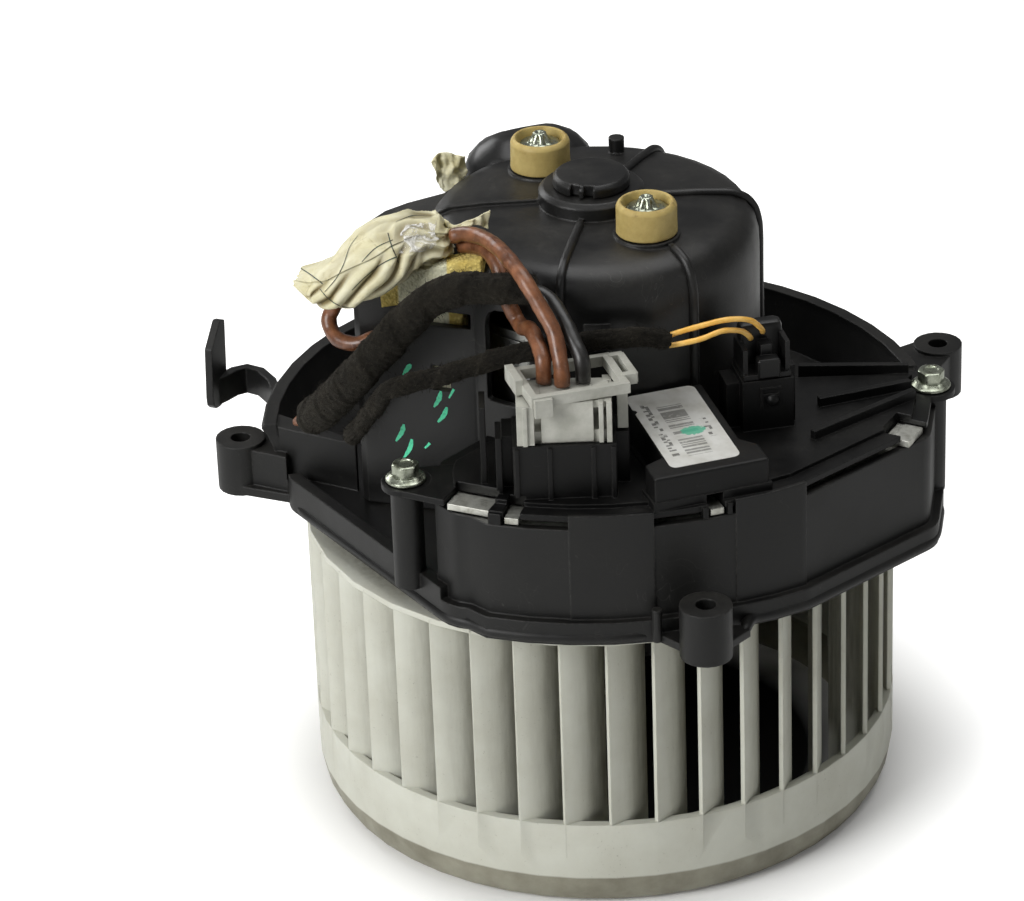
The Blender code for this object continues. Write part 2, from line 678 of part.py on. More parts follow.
def make_mounting_flange():
    outline = flange_outline()
    cup_inner = CAN_RADIUS + CLEARANCE
    cup_floor = CAN_BOTTOM - CLEARANCE
    flange = plate("mounting_flange", outline, SKIRT_BOTTOM, FLOOR_TOP, PLASTIC_BLACK)

    rim = turned("rim", [(RIM_RADIUS - RIM_LIP, RIM_TOP), (RIM_RADIUS, RIM_TOP),
                         (RIM_RADIUS + 0.0006, RIM_TOP - 0.0010), (RIM_RADIUS, RIM_TOP - 0.0022),
                         (RIM_RADIUS - 0.0006, RIM_TOP - 0.0026), (BACK_RADIUS, FLOOR_TOP + 0.0030),
                         (BACK_RADIUS - 0.0002, FLOOR_TOP - 0.0010),
                         (BACK_RADIUS - WALL - 0.0010, FLOOR_TOP - 0.0010),
                         (BACK_RADIUS - WALL, FLOOR_TOP + 0.0030),
                         (RIM_RADIUS - WALL - 0.0016, RIM_TOP - 0.0030)], RIM_STEPS)
    open_front = plate("rim_opening", [(-0.1200, -0.0020), (-0.1200, -0.1300), (0.1300, -0.1300),
                                       (0.1300, 0.0260), (0.0600, 0.0150), (0.0, 0.0), (-0.0600, -0.0020)],
                       FLOOR_TOP - 0.0040, RIM_TOP + 0.0100)
    cut(rim, [open_front], "front_open")

    pocket = pocket_outline()
    wall = plate("pocket_wall", pocket, FLOOR_TOP - 0.0010, POCKET_TOP)
    cut(wall, [plate("pocket_hollow", inset(pocket, WALL), FLOOR_TOP - 0.0030, POCKET_TOP + 0.0100)], "hollow")
    panels = [pocket_panel("front_panel", -102.5, -75.5), pocket_panel("right_panel", -68, -34)]

    low_rim = plate("low_rim", low_rim_outline(), FLOOR_TOP - 0.0010, LOW_RIM_TOP)
    step_wall = plate("step_wall", [(-0.0905, -0.0010), (-0.0673, -0.0136), (-0.0669, -0.0114),
                                    (-0.0890, 0.0060)], FLOOR_TOP - 0.0010, RIM_TOP - 0.0008)
    right_wall = plate("right_wall", [(0.0900, 0.0270), (0.0905, -0.0120), (0.0880, -0.0120),
                                      (0.0860, 0.0270)], FLOOR_TOP - 0.0010, RIM_TOP - 0.0008)
    cup = turned("motor_cup", [(cup_inner + CUP_WALL, FLOOR_TOP - 0.0008), (cup_inner + CUP_WALL, cup_floor - CUP_WALL + 0.002),
                               (cup_inner, cup_floor - CUP_WALL), (0.0125, cup_floor - CUP_WALL),
                               (0.0125, cup_floor), (cup_inner, cup_floor), (cup_inner, FLOOR_TOP - 0.0008)], ROUND)

    lugs = make_lugs()
    posts = []
    for name, centre in SCREW_CENTRES.items():
        posts.append(cylinder(f"screw_post_{name}", centre, FLOOR_TOP - 0.0010, COVER_BOTTOM - CLEARANCE,
                              POST_RADIUS, 16))
    ridges = [radial_box("floor_ridge_a", math.radians(28), 0.0500, 0.0880, 0.0016, FLOOR_TOP - 0.001, FLOOR_TOP + 0.004),
              radial_box("floor_ridge_b", math.radians(58), 0.0500, 0.0880, 0.0016, FLOOR_TOP - 0.001, FLOOR_TOP + 0.003),
              radial_box("floor_ridge_c", math.radians(90), 0.0500, 0.0880, 0.0016, FLOOR_TOP - 0.001, FLOOR_TOP + 0.003)]
    join(flange, [rim, wall, low_rim, step_wall, right_wall, cup, hook_arm()] + panels + lugs + posts + ridges)

    under = inset(outline, WALL)
    hollow = plate("skirt_hollow", under, SKIRT_BOTTOM - 0.0050, FLOOR_TOP - FLOOR_WALL)
    cup_keep = cylinder("cup_keep", (0, 0), SKIRT_BOTTOM - 0.0100, FLOOR_TOP, cup_inner + CUP_WALL - 0.0002, ROUND)
    cut(hollow, [cup_keep], "cup_stays")
    bores = [cylinder("motor_bore", (0, 0), SKIRT_BOTTOM - 0.0100, FLOOR_TOP + 0.0100, cup_inner + 0.0006, ROUND)]
    for name, centre in LUG_CENTRES.items():
        bores.append(cylinder(f"lug_bore_{name}", centre, SKIRT_BOTTOM - 0.0100, LUG_TOP + 0.0100,
                              LUG_BORE_RADIUS, 16))
    for name, centre in SCREW_CENTRES.items():
        bores.append(cylinder(f"post_bore_{name}", centre, COVER_BOTTOM - 0.0180, COVER_BOTTOM + 0.0100,
                              0.0020 + CLEARANCE, 12))
    window = arc(FIN_OUTER + 0.0020, -118, -26, 14) + arc(FIN_INNER - 0.0020, -26, -118, 14)
    bores.append(plate("fin_window", window, FLOOR_TOP - FLOOR_WALL - 0.0030, FLOOR_TOP + 0.0008))
    bores.append(plate("duct_intake", arc(0.0600, 163, 182, 4) + arc(0.0490, 182, 163, 4),
                       FLOOR_TOP - FLOOR_WALL - 0.0030, FLOOR_TOP + 0.0030))
    cut(flange, [hollow] + bores)
    return flange


def pocket_panel(name, start, end):
    """A stretch of the pocket wall that stands a little higher and prouder than the rest."""
    outer = inset(flange_outline(), POCKET_INSET - 0.0004)
    inner = inset(flange_outline(), POCKET_INSET + 0.0007)
    chosen = [i for i, p in enumerate(outer) if start <= math.degrees(math.atan2(p[1], p[0])) <= end]
    outline = [outer[i] for i in chosen] + [inner[i] for i in reversed(chosen)]
    return plate(name, outline, FLOOR_TOP - 0.0010, PANEL_TOP)


def low_rim_outline():
    outline = flange_outline()
    outer = [p for p in outline if p[0] < -0.0440 and p[1] < 0.0040]
    inner = [p for p in inset(outline, LOW_RIM_WALL) if p[0] < -0.0410 and p[1] < 0.0040]
    return outer + inner[::-1]


def make_lugs():
    pieces = []
    for name, centre in LUG_CENTRES.items():
        pieces.append(cylinder(f"lug_{name}", centre, SKIRT_BOTTOM, LUG_TOP, LUG_RADIUS, 20))
    left = LUG_CENTRES["left"]
    right = LUG_CENTRES["right"]
    front = LUG_CENTRES["front"]
    pieces.append(plate("left_base", [(left[0] - 0.002, left[1] - LUG_RADIUS + 0.0008), (-0.0860, -0.0080),
                                      (-0.0860, 0.0120), (left[0] - 0.002, left[1] + LUG_RADIUS - 0.0008)],
                        SKIRT_BOTTOM + 0.0004, SKIRT_BOTTOM + 0.0030))
    pieces.append(plate("left_web", [(left[0], left[1] - 0.0045), (-0.0870, -0.0060), (-0.0870, 0.0100),
                                     (left[0], left[1] + 0.0045)], SKIRT_BOTTOM + 0.0020, LUG_TOP - 0.0012))
    pieces.append(plate("right_web", [(right[0] - 0.002, right[1] + 0.0060), (0.0800, 0.0420),
                                      (0.0890, 0.0150), (right[0] + 0.003, right[1] - 0.0062)],
                        SKIRT_BOTTOM + 0.0020, LUG_TOP - 0.0010))
    pieces.append(plate("front_gusset", [(front[0] - 0.0130, -0.0905), (front[0] - 0.0015, front[1] - 0.0040),
                                         (front[0] + 0.0015, front[1] - 0.0040), (front[0] + 0.0120, -0.0905),
                                         (front[0] + 0.0110, -0.0880), (front[0] - 0.0120, -0.0880)],
                        SKIRT_BOTTOM + 0.0004, SKIRT_BOTTOM + 0.0026))
    pieces.append(cylinder("front_peg", (front[0] - 0.0125, -0.0918), SKIRT_BOTTOM + 0.0010,
                           FLOOR_TOP + 0.0040, 0.0014, 10))
    return pieces


def hook_arm():
    """Wavy arm at the rear left with an upright plate on its end."""
    line = [Vector(p) for p in ((-0.0900, 0.0190), (-0.0915, 0.0270), (-0.0950, 0.0335), (-0.0990, 0.0360),
                                (-0.1025, 0.0345), (-0.1055, 0.0310), (-0.1075, 0.0290))]
    half = 0.0013
    sides = ([], [])
    for i, point in enumerate(line):
        along = (line[min(i + 1, len(line) - 1)] - line[max(i - 1, 0)]).normalized()
        across = Vector((-along.y, along.x)) * half
        sides[0].append(tuple(point + across))
        sides[1].append(tuple(point - across))
    arm = plate("hook_band", sides[0] + sides[1][::-1], RIM_TOP - 0.0085, RIM_TOP - 0.0005)
    blade = plate("hook_blade", rounded([(0.0240, 0.1020, 0.004), (0.0335, 0.1020, 0.004), (0.0350, 0.1265, 0.001),
                                         (0.0320, 0.1275, 0.001), (0.0255, 0.1210, 0.001)]), -0.0011, 0.0011)
    foot = Matrix.Translation((-0.1075, 0.0290, 0.0))
    stand = foot @ Matrix.Rotation(math.radians(68), 4, "Z") @ Matrix.Rotation(math.pi / 2, 4, "X") \
        @ Matrix.Translation((-0.0290, 0.0, 0.0))
    blade.data.transform(stand)
    return join(arm, [blade], "blade")


def dome_line(grow=0.0):
    """Outer line of the dome from its foot to the turret, grown by a distance."""
    shoulder = DOME_SHOULDER
    r = DOME_RADIUS + grow
    return [(r, FLOOR_TOP + CLEARANCE), (r, shoulder), (r - 0.0002, shoulder + 0.0048),
            (r - 0.0012, shoulder + 0.0088 + 0.5 * grow), (r - 0.0035, shoulder + 0.0118 + 0.8 * grow),
            (r - 0.0075, shoulder + 0.0135 + grow), (0.0300, DOME_TOP - 0.0004 + grow),
            (TURRET_RADIUS, DOME_TOP + grow)]


def duct_outline():
    front = [(-0.0270, -0.0325), (-0.0340, -0.0308)]
    corner = [(-0.0640, -0.0206), (-0.0655, -0.0185)]
    side = [(-0.0660, -0.0020), (-0.0645, 0.0095)]
    back = [(-0.0612, 0.0165), (-0.0568, 0.0210), (-0.0506, 0.0232), (-0.0405, 0.0245), (-0.0350, 0.0295)]
    return front + corner + side + back + [(-0.0250, 0.0300)]


def sloped(obj, outline_top, highest, slope, level_from):
    """Tilt the top of a plate so that it falls toward -X."""
    for vert in obj.data.vertices:
        if vert.co.z > outline_top - 1e-5:
            vert.co.z = highest + slope * min(0.0, vert.co.x - level_from)
    return obj


def elbow(name, radius):
    """Solids of the air duct's curved run behind the dome, from the floor to the dome."""
    curve = bpy.data.curves.new(name + "_curve", "CURVE")
    curve.dimensions = "3D"
    curve.bevel_depth = radius
    curve.bevel_resolution = 3
    curve.use_fill_caps = True
    line = arc(ELBOW_RING, math.degrees(ELBOW_START), math.degrees(ELBOW_STOP), 4)
    spline = curve.splines.new("POLY")
    spline.points.add(len(line) - 1)
    for point, (x, y) in zip(spline.points, line):
        point.co = (x, y, ELBOW_HEIGHT, 1.0)
    sketch = bpy.data.objects.new(name + "_sketch", curve)
    mesh = bpy.data.meshes.new_from_object(sketch)
    bpy.data.objects.remove(sketch, do_unlink=True)
    bm = bmesh.new()
    bm.from_mesh(mesh)
    bpy.data.meshes.remove(mesh)
    bmesh.ops.remove_doubles(bm, verts=bm.verts, dist=1e-6)
    run = place(name, mesh_from(name, bm))
    ends = [ball(f"{name}_end_{i}", (*spot, ELBOW_HEIGHT), radius) for i, spot in enumerate((line[0], line[-1]))]
    drop = cylinder(name + "_drop", line[0], FLOOR_TOP + CLEARANCE, ELBOW_HEIGHT, radius - 0.0001, 18)
    return [run, drop] + ends


def ball(name, centre, radius, steps=15):
    bm = bmesh.new()
    bmesh.ops.create_uvsphere(bm, u_segments=steps, v_segments=steps * 3 // 5, radius=radius,
                              matrix=Matrix.Translation(centre))
    return place(name, mesh_from(name, bm))


def make_motor_cover():
    foot = FLOOR_TOP + CLEARANCE
    line = dome_line()
    profile = [(0.0, TURRET_TOP), (TURRET_RADIUS - 0.0012, TURRET_TOP), (TURRET_RADIUS, TURRET_TOP - 0.0012)] \
        + line[::-1] + [(0.0, foot)]
    cover = turned("motor_cover", profile, 40, PLASTIC_COVER)

    duct = sloped(plate("duct_body", duct_outline(), foot, DUCT_TOP), DUCT_TOP, DUCT_TOP, DUCT_SLOPE, -0.0290)
    soften(duct, 0.0045, 2, 50)
    added = [duct] + elbow("elbow_body", ELBOW_RADIUS)
    for name, azimuth in DAMPER_AZIMUTH.items():
        added.append(cylinder(f"seat_{name}", polar(DAMPER_RING, azimuth), DOME_TOP - 0.0080,
                              DAMPER_BOTTOM - CLEARANCE, SEAT_RADIUS, 24))
    damper_edge = DAMPER_RING + DAMPER_RADIUS + 0.0012
    for degrees, inner in ((-103, TURRET_RADIUS), (-56, damper_edge), (5, TURRET_RADIUS), (62, TURRET_RADIUS)):
        added.append(dome_rib(f"dome_rib_{degrees}", math.radians(degrees), inner))
    far = DUCT_TOP - DUCT_SLOPE * 0.0270
    added.append(upright_plate("duct_rib", [p for p in dome_line(RIB_HEIGHT)[2:] if p[1] > 0.1690]
                               + [(TURRET_RADIUS - 0.002, DOME_TOP - 0.0040), (0.0400, DUCT_TOP - 0.0060),
                                  (0.0560, far - 0.0030), (0.0560, far + RIB_HEIGHT), (0.0452, far + 0.0031)],
                               math.pi, RIB_WALL))
    added.append(cylinder("cover_peg", (0.0080, 0.0330), DOME_TOP - 0.0080, DOME_TOP + 0.0036, 0.0022, 12))
    added.append(box("clip_nub", (-0.0040, -0.0495, 0.1500), (0.0030, -0.0440, 0.1600)))
    added.append(box("clip_shelf", (-0.0030, -0.0560, 0.1525), (0.0020, -0.0440, 0.1557)))
    join(cover, added)

    inside = [turned("dome_hollow", inner_dome(), 40),
              sloped(plate("duct_hollow", inset(duct_outline(), COVER_WALL), FLOOR_TOP - 0.0100, DUCT_TOP - COVER_WALL),
                     DUCT_TOP - COVER_WALL, DUCT_TOP - COVER_WALL, DUCT_SLOPE, -0.0290)] + elbow("elbow_hollow", ELBOW_RADIUS - COVER_WALL)
    for name, azimuth in DAMPER_AZIMUTH.items():
        inside.append(cylinder(f"cover_hole_{name}", polar(DAMPER_RING, azimuth), DOME_TOP - 0.0200,
                               DAMPER_TOP, DAMPER_SCREW_RADIUS + 2 * CLEARANCE, 12))
    inside += duct_windows()
    cut(cover, inside)
    return cover


def inner_dome():
    r = DOME_RADIUS - COVER_WALL
    top = DOME_TOP - COVER_WALL
    return [(0.0, top - 0.0002), (0.0300, top - 0.0006), (r - 0.0070, DOME_SHOULDER + 0.0112),
            (r - 0.0034, DOME_SHOULDER + 0.0097), (r - 0.0012, DOME_SHOULDER + 0.0070), (r, DOME_SHOULDER + 0.0030),
            (r, FLOOR_TOP - 0.0100), (0.0, FLOOR_TOP - 0.0100)]


def dome_rib(name, azimuth, inner):
    """Thin raised line from a radius near the axis over the shoulder and down the wall."""
    top = clipped(dome_line(RIB_HEIGHT)[2:], inner)
    bottom = [(r - 0.0030 if r > 0.0360 else r, z - 0.0030) for r, z in clipped(dome_line()[2:], inner)]
    outline = [(DOME_RADIUS + RIB_HEIGHT, 0.1300), (DOME_RADIUS + RIB_HEIGHT, DOME_SHOULDER)] + top \
        + bottom[::-1] + [(DOME_RADIUS - 0.0020, DOME_SHOULDER), (DOME_RADIUS - 0.0010, 0.1300)]
    return upright_plate(name, outline, azimuth, RIB_WALL)


def clipped(line, inner):
    """The part of a falling line that lies outside a radius."""
    kept = [p for p in line if p[0] >= inner]
    for (r1, z1), (r2, z2) in zip(line, line[1:]):
        if r1 > inner > r2:
            kept.append((inner, z1 + (z2 - z1) * (r1 - inner) / (r1 - r2)))
    return kept


def duct_windows():
    """The arched window in the dome and the two windows in the duct's front panel."""
    arch_azimuth = math.radians(-123)
    half = 0.0068
    arch = rounded([(-half, 0.1330, 0.001), (half, 0.1330, 0.001), (half, 0.1610, 0.006), (-half, 0.1610, 0.006)], 4)
    window = plate("arch_window", arch, 0.0395, 0.0600)
    face_out = Matrix.Rotation(arch_azimuth, 4, "Z") @ Matrix(((0, 0, 1, 0), (1, 0, 0, 0), (0, 1, 0, 0), (0, 0, 0, 1)))
    window.data.transform(face_out)
    upper = box("upper_window", (-0.0590, -0.0400, 0.1525), (-0.0340, -0.0235, 0.1570))
    small = box("small_window", (-0.0448, -0.0400, 0.1330), (-0.0400, -0.0235, 0.1405))
    return [window, upper, small]


def make_cap_and_dampers():
    cap_bottom = TURRET_TOP + CLEARANCE
    cap = turned("bearing_cap", [(0.0, CAP_TOP), (CAP_RADIUS - 0.0010, CAP_TOP), (CAP_RADIUS, CAP_TOP - 0.0010),
                                 (CAP_RADIUS, cap_bottom), (0.0, cap_bottom)], 28, PLASTIC_COVER)
    notches = []
    for i, degrees in enumerate((-118, -96)):
        notches.append(radial_box(f"cap_notch_{i}", math.radians(degrees), CAP_RADIUS - 0.0016, CAP_RADIUS + 0.004,
                                  0.0026, cap_bottom - 0.002, CAP_TOP + 0.002))
    cut(cap, notches)
    for name, azimuth in DAMPER_AZIMUTH.items():
        x, y = polar(DAMPER_RING, azimuth)
        ring = turned(f"damper_ring_{name}",
                      [(DAMPER_BORE, DAMPER_TOP), (DAMPER_RADIUS - 0.0008, DAMPER_TOP),
                       (DAMPER_RADIUS, DAMPER_TOP - 0.0009), (DAMPER_RADIUS, DAMPER_BOTTOM),
                       (DAMPER_SCREW_RADIUS + CLEARANCE, DAMPER_BOTTOM),
                       (DAMPER_SCREW_RADIUS + CLEARANCE, DAMPER_BOTTOM + 0.0032),
                       (DAMPER_BORE, DAMPER_BOTTOM + 0.0032)], 20, RUBBER_CREAM)
        ring.location = (x, y, 0.0)
        head = DAMPER_BOTTOM + 0.0032 + CLEARANCE
        screw = turned(f"damper_screw_{name}",
                       [(0.0, head + 0.0042), (0.0022, head + 0.0040), (0.0044, head + 0.0022),
                        (0.0056, head + 0.0012), (0.0056, head), (DAMPER_SCREW_RADIUS, head),
                        (DAMPER_SCREW_RADIUS, CAN_TOP + 0.0060), (0.0, CAN_TOP + 0.0060)], 16, STEEL)
        screw.location = (x, y, 0.0)
        flutes = []
        for i in range(6):
            flute = cylinder(f"flute_{name}_{i}", polar(0.0050, math.tau * i / 6), head + 0.0013, head + 0.0080,
                             0.0012, 6)
            flute.location = (x, y, 0.0)
            flutes.append(flute)
        cut(screw, flutes)


def label_height(x, y):
    """Height of the label block's sloping top."""
    back = (y - LABEL_CORNER[1]) * math.cos(LABEL_TURN) - (x - LABEL_CORNER[0]) * math.sin(LABEL_TURN)
    return LABEL_FRONT_TOP + LABEL_SLOPE * back


def make_label_block(bottom):
    outline = [(-0.0060, -0.0035), (0.0260, -0.0035), (0.0260, 0.0040), (0.0220, 0.0080),
               (0.0220, 0.0364), (-0.0004, 0.0364), (-0.0004, 0.0060), (-0.0060, 0.0040)]
    top = LABEL_FRONT_TOP + 0.0040
    block = plate("label_block", turned_outline(LABEL_CORNER, LABEL_TURN, outline), bottom, top)
    for vert in block.data.vertices:
        if vert.co.z > top - 1e-5:
            vert.co.z = label_height(vert.co.x, vert.co.y)
    foot = [(-0.0064, -0.0039), (0.0266, -0.0039), (0.0266, 0.0060), (0.0232, 0.0100),
            (0.0232, 0.0350), (-0.0014, 0.0350), (-0.0014, 0.0070), (-0.0064, 0.0050)]
    plinth = plate("label_foot", turned_outline(LABEL_CORNER, LABEL_TURN, foot), bottom + 0.0002, bottom + 0.0036)
    return [soften(block, 0.0008, 2), plinth]


def make_signal_socket(bottom):
    corner = SIGNAL_CORNER
    turn = SIGNAL_TURN
    top = SIGNAL_SOCKET_TOP
    ball_x, ball_y = turned_outline(corner, turn, [(0.0082, 0.0002)])[0]
    return [turned_box("signal_socket", corner, turn, (0.0, 0.0, bottom), (0.0140, 0.0125, top)),
            turned_box("socket_side", corner, turn, (-0.0036, 0.0035, bottom + 0.0001), (0.0002, 0.0120, top - 0.0016)),
            turned_box("socket_lip", corner, turn, (0.0136, 0.0030, bottom + 0.0001), (0.0152, 0.0060, top + 0.0020)),
            turned_box("socket_key", corner, turn, (0.0048, -0.0006, top - 0.0080), (0.0055, 0.0002, top - 0.0020)),
            turned_box("socket_bar_a", corner, turn, (0.0048, -0.0006, top - 0.0027), (0.0105, 0.0002, top - 0.0020)),
            turned_box("socket_bar_b", corner, turn, (0.0048, -0.0006, top - 0.0045), (0.0100, 0.0002, top - 0.0038)),
            ball("socket_boss", (ball_x, ball_y, top - 0.0060), 0.0020, 12)]


def make_controller_cover():
    bottom = COVER_BOTTOM
    outline = inset(pocket_outline(), 0.0010)
    cover = plate("controller_cover", outline, bottom, COVER_PLATE_TOP, PLASTIC_COVER)
    neck = plate("ear_neck", [(-0.0535, -0.0705), (-0.0400, -0.0775), (-0.0360, -0.0560), (-0.0530, -0.0575)],
                 bottom, COVER_PLATE_TOP + 0.0001)
    added = [neck]
    for name, centre in SCREW_CENTRES.items():
        added.append(cylinder(f"ear_{name}", centre, bottom, COVER_PLATE_TOP + 0.0002, 0.0066, 24))
    added.append(plate("cover_step", inset(pocket_outline(), 0.0052), bottom + 0.0005, STEP_TOP))
    for i, (degrees, width) in enumerate(((-109.3, 0.0034), (-73.3, 0.0014), (-68.9, 0.0012))):
        added.append(radial_box(f"cover_snap_{i}", math.radians(degrees), 0.0840, 0.0893, width,
                                POCKET_TOP + CLEARANCE, COVER_PLATE_TOP - 0.0002))

    added.append(box("power_tower", (-0.0240, -0.0795, bottom + 0.0005), (0.0030, -0.0615, TOWER_TOP)))
    added.append(box("tower_left", (-0.0268, -0.0720, bottom + 0.0006), (-0.0235, -0.0617, TOWER_TOP - 0.0006)))
    added.append(box("tower_right", (0.0025, -0.0715, bottom + 0.0006), (0.0066, -0.0617, TOWER_TOP - 0.0006)))
    for i, x in enumerate((-0.0236, -0.0150, -0.0036, 0.0016)):
        added.append(box(f"tower_rib_{i}", (x, -0.0805, bottom + 0.0006), (x + 0.0012, -0.0790, TOWER_TOP - 0.0004)))
    for i, (x, y, top) in enumerate(((-0.0285, -0.0760, 0.1430), (-0.0325, -0.0700, 0.1490))):
        added.append(box(f"guard_fin_{i}", (x, y, bottom + 0.0006), (x + 0.0016, y + 0.0100, top)))
    added += make_label_block(bottom + 0.0005) + make_signal_socket(bottom + 0.0005)
    for i, (start, end) in enumerate((((0.0550, -0.0130), (0.0850, -0.0150)), ((0.0590, -0.0330), (0.0860, -0.0240)),
                                      ((0.0560, -0.0520), (0.0850, -0.0300)))):
        added.append(wall_between(f"cover_rib_{i}", start, end, 0.0018, bottom + 0.0005, STEP_TOP + 0.0026))
    join(cover, added)

    cuts = [box("tower_socket", (-0.0222, -0.0777, bottom + 0.0040), (0.0012, -0.0633, TOWER_TOP + 0.01)),
            turned_box("signal_hollow", SIGNAL_CORNER, SIGNAL_TURN, (0.0016, 0.0016, bottom + 0.0070),
                       (0.0124, 0.0109, SIGNAL_SOCKET_TOP + 0.01))]
    for degrees, width in TABS:
        cuts.append(radial_box(f"tab_gap_{-degrees:.0f}", math.radians(degrees), tab_reach(degrees) - 0.0078,
                               tab_reach(degrees) + 0.0040, width + 0.0010, bottom - 0.0010, STEP_TOP + 0.0010))
    for name, centre in SCREW_CENTRES.items():
        cuts.append(cylinder(f"ear_bore_{name}", centre, bottom - 0.01, STEP_TOP + 0.01, 0.0020 + CLEARANCE, 16))
        cuts.append(cylinder(f"ear_face_{name}", centre, COVER_PLATE_TOP, STEP_TOP + 0.01, 0.0068, 24))
    cut(cover, cuts)
    return cover


def wall_between(name, start, end, wall, bottom, top):
    a = Vector(start)
    b = Vector(end)
    across = (b - a).normalized().orthogonal() * wall / 2
    return plate(name, [tuple(a + across), tuple(b + across), tuple(b - across), tuple(a - across)], bottom, top)


def make_cover_screws():
    seat = COVER_PLATE_TOP + CLEARANCE
    for name, centre in SCREW_CENTRES.items():
        screw = turned(f"cover_screw_{name}",
                       [(0.0, seat + 0.0020), (HEX_ACROSS / 2 - 0.0002, seat + 0.0020), (HEX_FLANGE_RADIUS, seat + 0.0008),
                        (HEX_FLANGE_RADIUS, seat), (0.0020, seat), (0.0020, seat - 0.0160), (0.0, seat - 0.0160)],
                       16, STEEL)
        head = cylinder(f"hex_{name}", (0.0, 0.0), seat + 0.0010, seat + 0.0052, HEX_ACROSS / 2 / math.cos(math.pi / 6), 6)
        soften(head, 0.0005, 1, 30)
        screw.location = (*centre, 0.0)
        head.location = (*centre, 0.0)
        join(screw, [head], "hexagon")


def make_heat_sink():
    bed = inset(pocket_outline(), WALL + 0.0005)
    sink = plate("heat_sink", bed, SINK_TOP - SINK_WALL, SINK_TOP, ALUMINIUM)
    added = []
    for degrees, width in TABS:
        azimuth = math.radians(degrees)
        reach = tab_reach(degrees)
        added.append(radial_box(f"tab_{-degrees:.0f}", azimuth, reach - 0.0072, reach - 0.0036,
                                width, SINK_TOP - 0.0012, TAB_TOP - 0.0002))
        added.append(radial_box(f"tab_head_{-degrees:.0f}", azimuth, reach - 0.0052, reach - 0.0001,
                                width + 0.0001, POCKET_TOP + CLEARANCE, TAB_TOP))
    for i in range(FIN_COUNT):
        azimuth = math.radians(-112 + 80 * i / (FIN_COUNT - 1))
        added.append(radial_box(f"fin_{i}", azimuth, FIN_INNER, FIN_OUTER, 0.0020, FLOOR_TOP - 0.0010, SINK_TOP - 0.0010))
    join(sink, added)
    for name, centre in SCREW_CENTRES.items():
        cut(sink, [cylinder(f"sink_clear_{name}", centre, SINK_TOP - 0.02, SINK_TOP + 0.01, POST_RADIUS + 0.0005, 16)],
            f"clear_{name}")
    plate("circuit_board", arc(0.0803, -104, -36, 14) + arc(0.0560, -36, -104, 14), SINK_TOP + CLEARANCE,
          SINK_TOP + CLEARANCE + BOARD_WALL, BOARD_GREEN)


def tab_reach(degrees):
    """Radius of the pocket wall's outer face at an azimuth, less a little."""
    azimuth = math.radians(degrees)
    ray = Vector(polar(1.0, azimuth))
    best = 0.0
    outline = pocket_outline()
    for first, second in zip(outline, outline[1:] + outline[:1]):
        a = Vector(first)
        edge = Vector(second) - a
        cross = ray.x * edge.y - ray.y * edge.x
        if abs(cross) < 1e-12:
            continue
        reach = (a.x * edge.y - a.y * edge.x) / cross
        along = (a.x * ray.y - a.y * ray.x) / cross
        if 0.0 <= along <= 1.0 and reach > best:
            best = reach
    return best - 0.0006


def make_plugs():
    seat = TOWER_TOP + CLEARANCE
    body_top = PLUG_TOP
    plug = box("power_plug", (-0.0164, -0.0780, seat), (-0.0028, -0.0640, body_top), PLASTIC_PLUG)
    added = [box("plug_insert", (-0.0218, -0.0773, seat - 0.0120), (0.0008, -0.0637, seat + 0.0030)),
             box("plug_shelf", (-0.0226, -0.0770, body_top - 0.0022), (0.0016, -0.0640, body_top - 0.0002)),
             box("plug_arm", (0.0008, -0.0705, body_top - 0.0021), (0.0062, -0.0662, body_top - 0.0003)),
             box("plug_leg", (0.0036, -0.0712, seat), (0.0064, -0.0680, body_top - 0.0001))]
    for i, (x, y, width) in enumerate(((-0.0228, -0.0794, 0.0046), (-0.0014, -0.0790, 0.0012), (0.0006, -0.0790, 0.0014),
                                       (-0.0228, -0.0660, 0.0030), (0.0000, -0.0660, 0.0024))):
        added.append(box(f"plug_pillar_{i}", (x, y, seat), (x + width, y + 0.0034, body_top - 0.0001)))
    added.append(box("plug_rib_left", (-0.0212, -0.0800, seat), (-0.0200, -0.0780, body_top - 0.0003)))
    join(plug, added)

    make_plug_lock(body_top + CLEARANCE)
    make_signal_plug()


def make_plug_lock(low):
    """Turned locking frame on top of the power plug, with a loop at its right end."""
    centre = LOCK_CENTRE
    turn = LOCK_TURN
    high = low + 0.0030
    frame = turned_box("plug_lock", centre, turn, (-0.0134, -0.0094, low), (0.0134, -0.0074, high), PLASTIC_PLUG)
    bars = [turned_box("lock_back", centre, turn, (-0.0134, 0.0076, low), (0.0134, 0.0094, high)),
            turned_box("lock_left", centre, turn, (-0.0134, -0.0094, low), (-0.0114, 0.0094, high - 0.0001)),
            turned_box("lock_right", centre, turn, (0.0112, -0.0094, low), (0.0134, 0.0094, high - 0.0001)),
            turned_box("lock_wing", centre, turn, (-0.0152, -0.0010, low + 0.0001), (-0.0130, 0.0090, low + 0.0044)),
            turned_box("lock_drop", centre, turn, (-0.0128, -0.0106, low - 0.0024), (-0.0080, -0.0092, high - 0.0004)),
            turned_box("lock_loop_front", centre, turn, (0.0128, -0.0052, low + 0.0002), (0.0166, -0.0032, high + 0.0002)),
            turned_box("lock_loop_back", centre, turn, (0.0128, 0.0066, low + 0.0002), (0.0166, 0.0086, high + 0.0002)),
            turned_box("lock_loop_side", centre, turn, (0.0150, -0.0046, low + 0.0003), (0.0170, 0.0080, high + 0.0001))]
    return join(frame, bars)


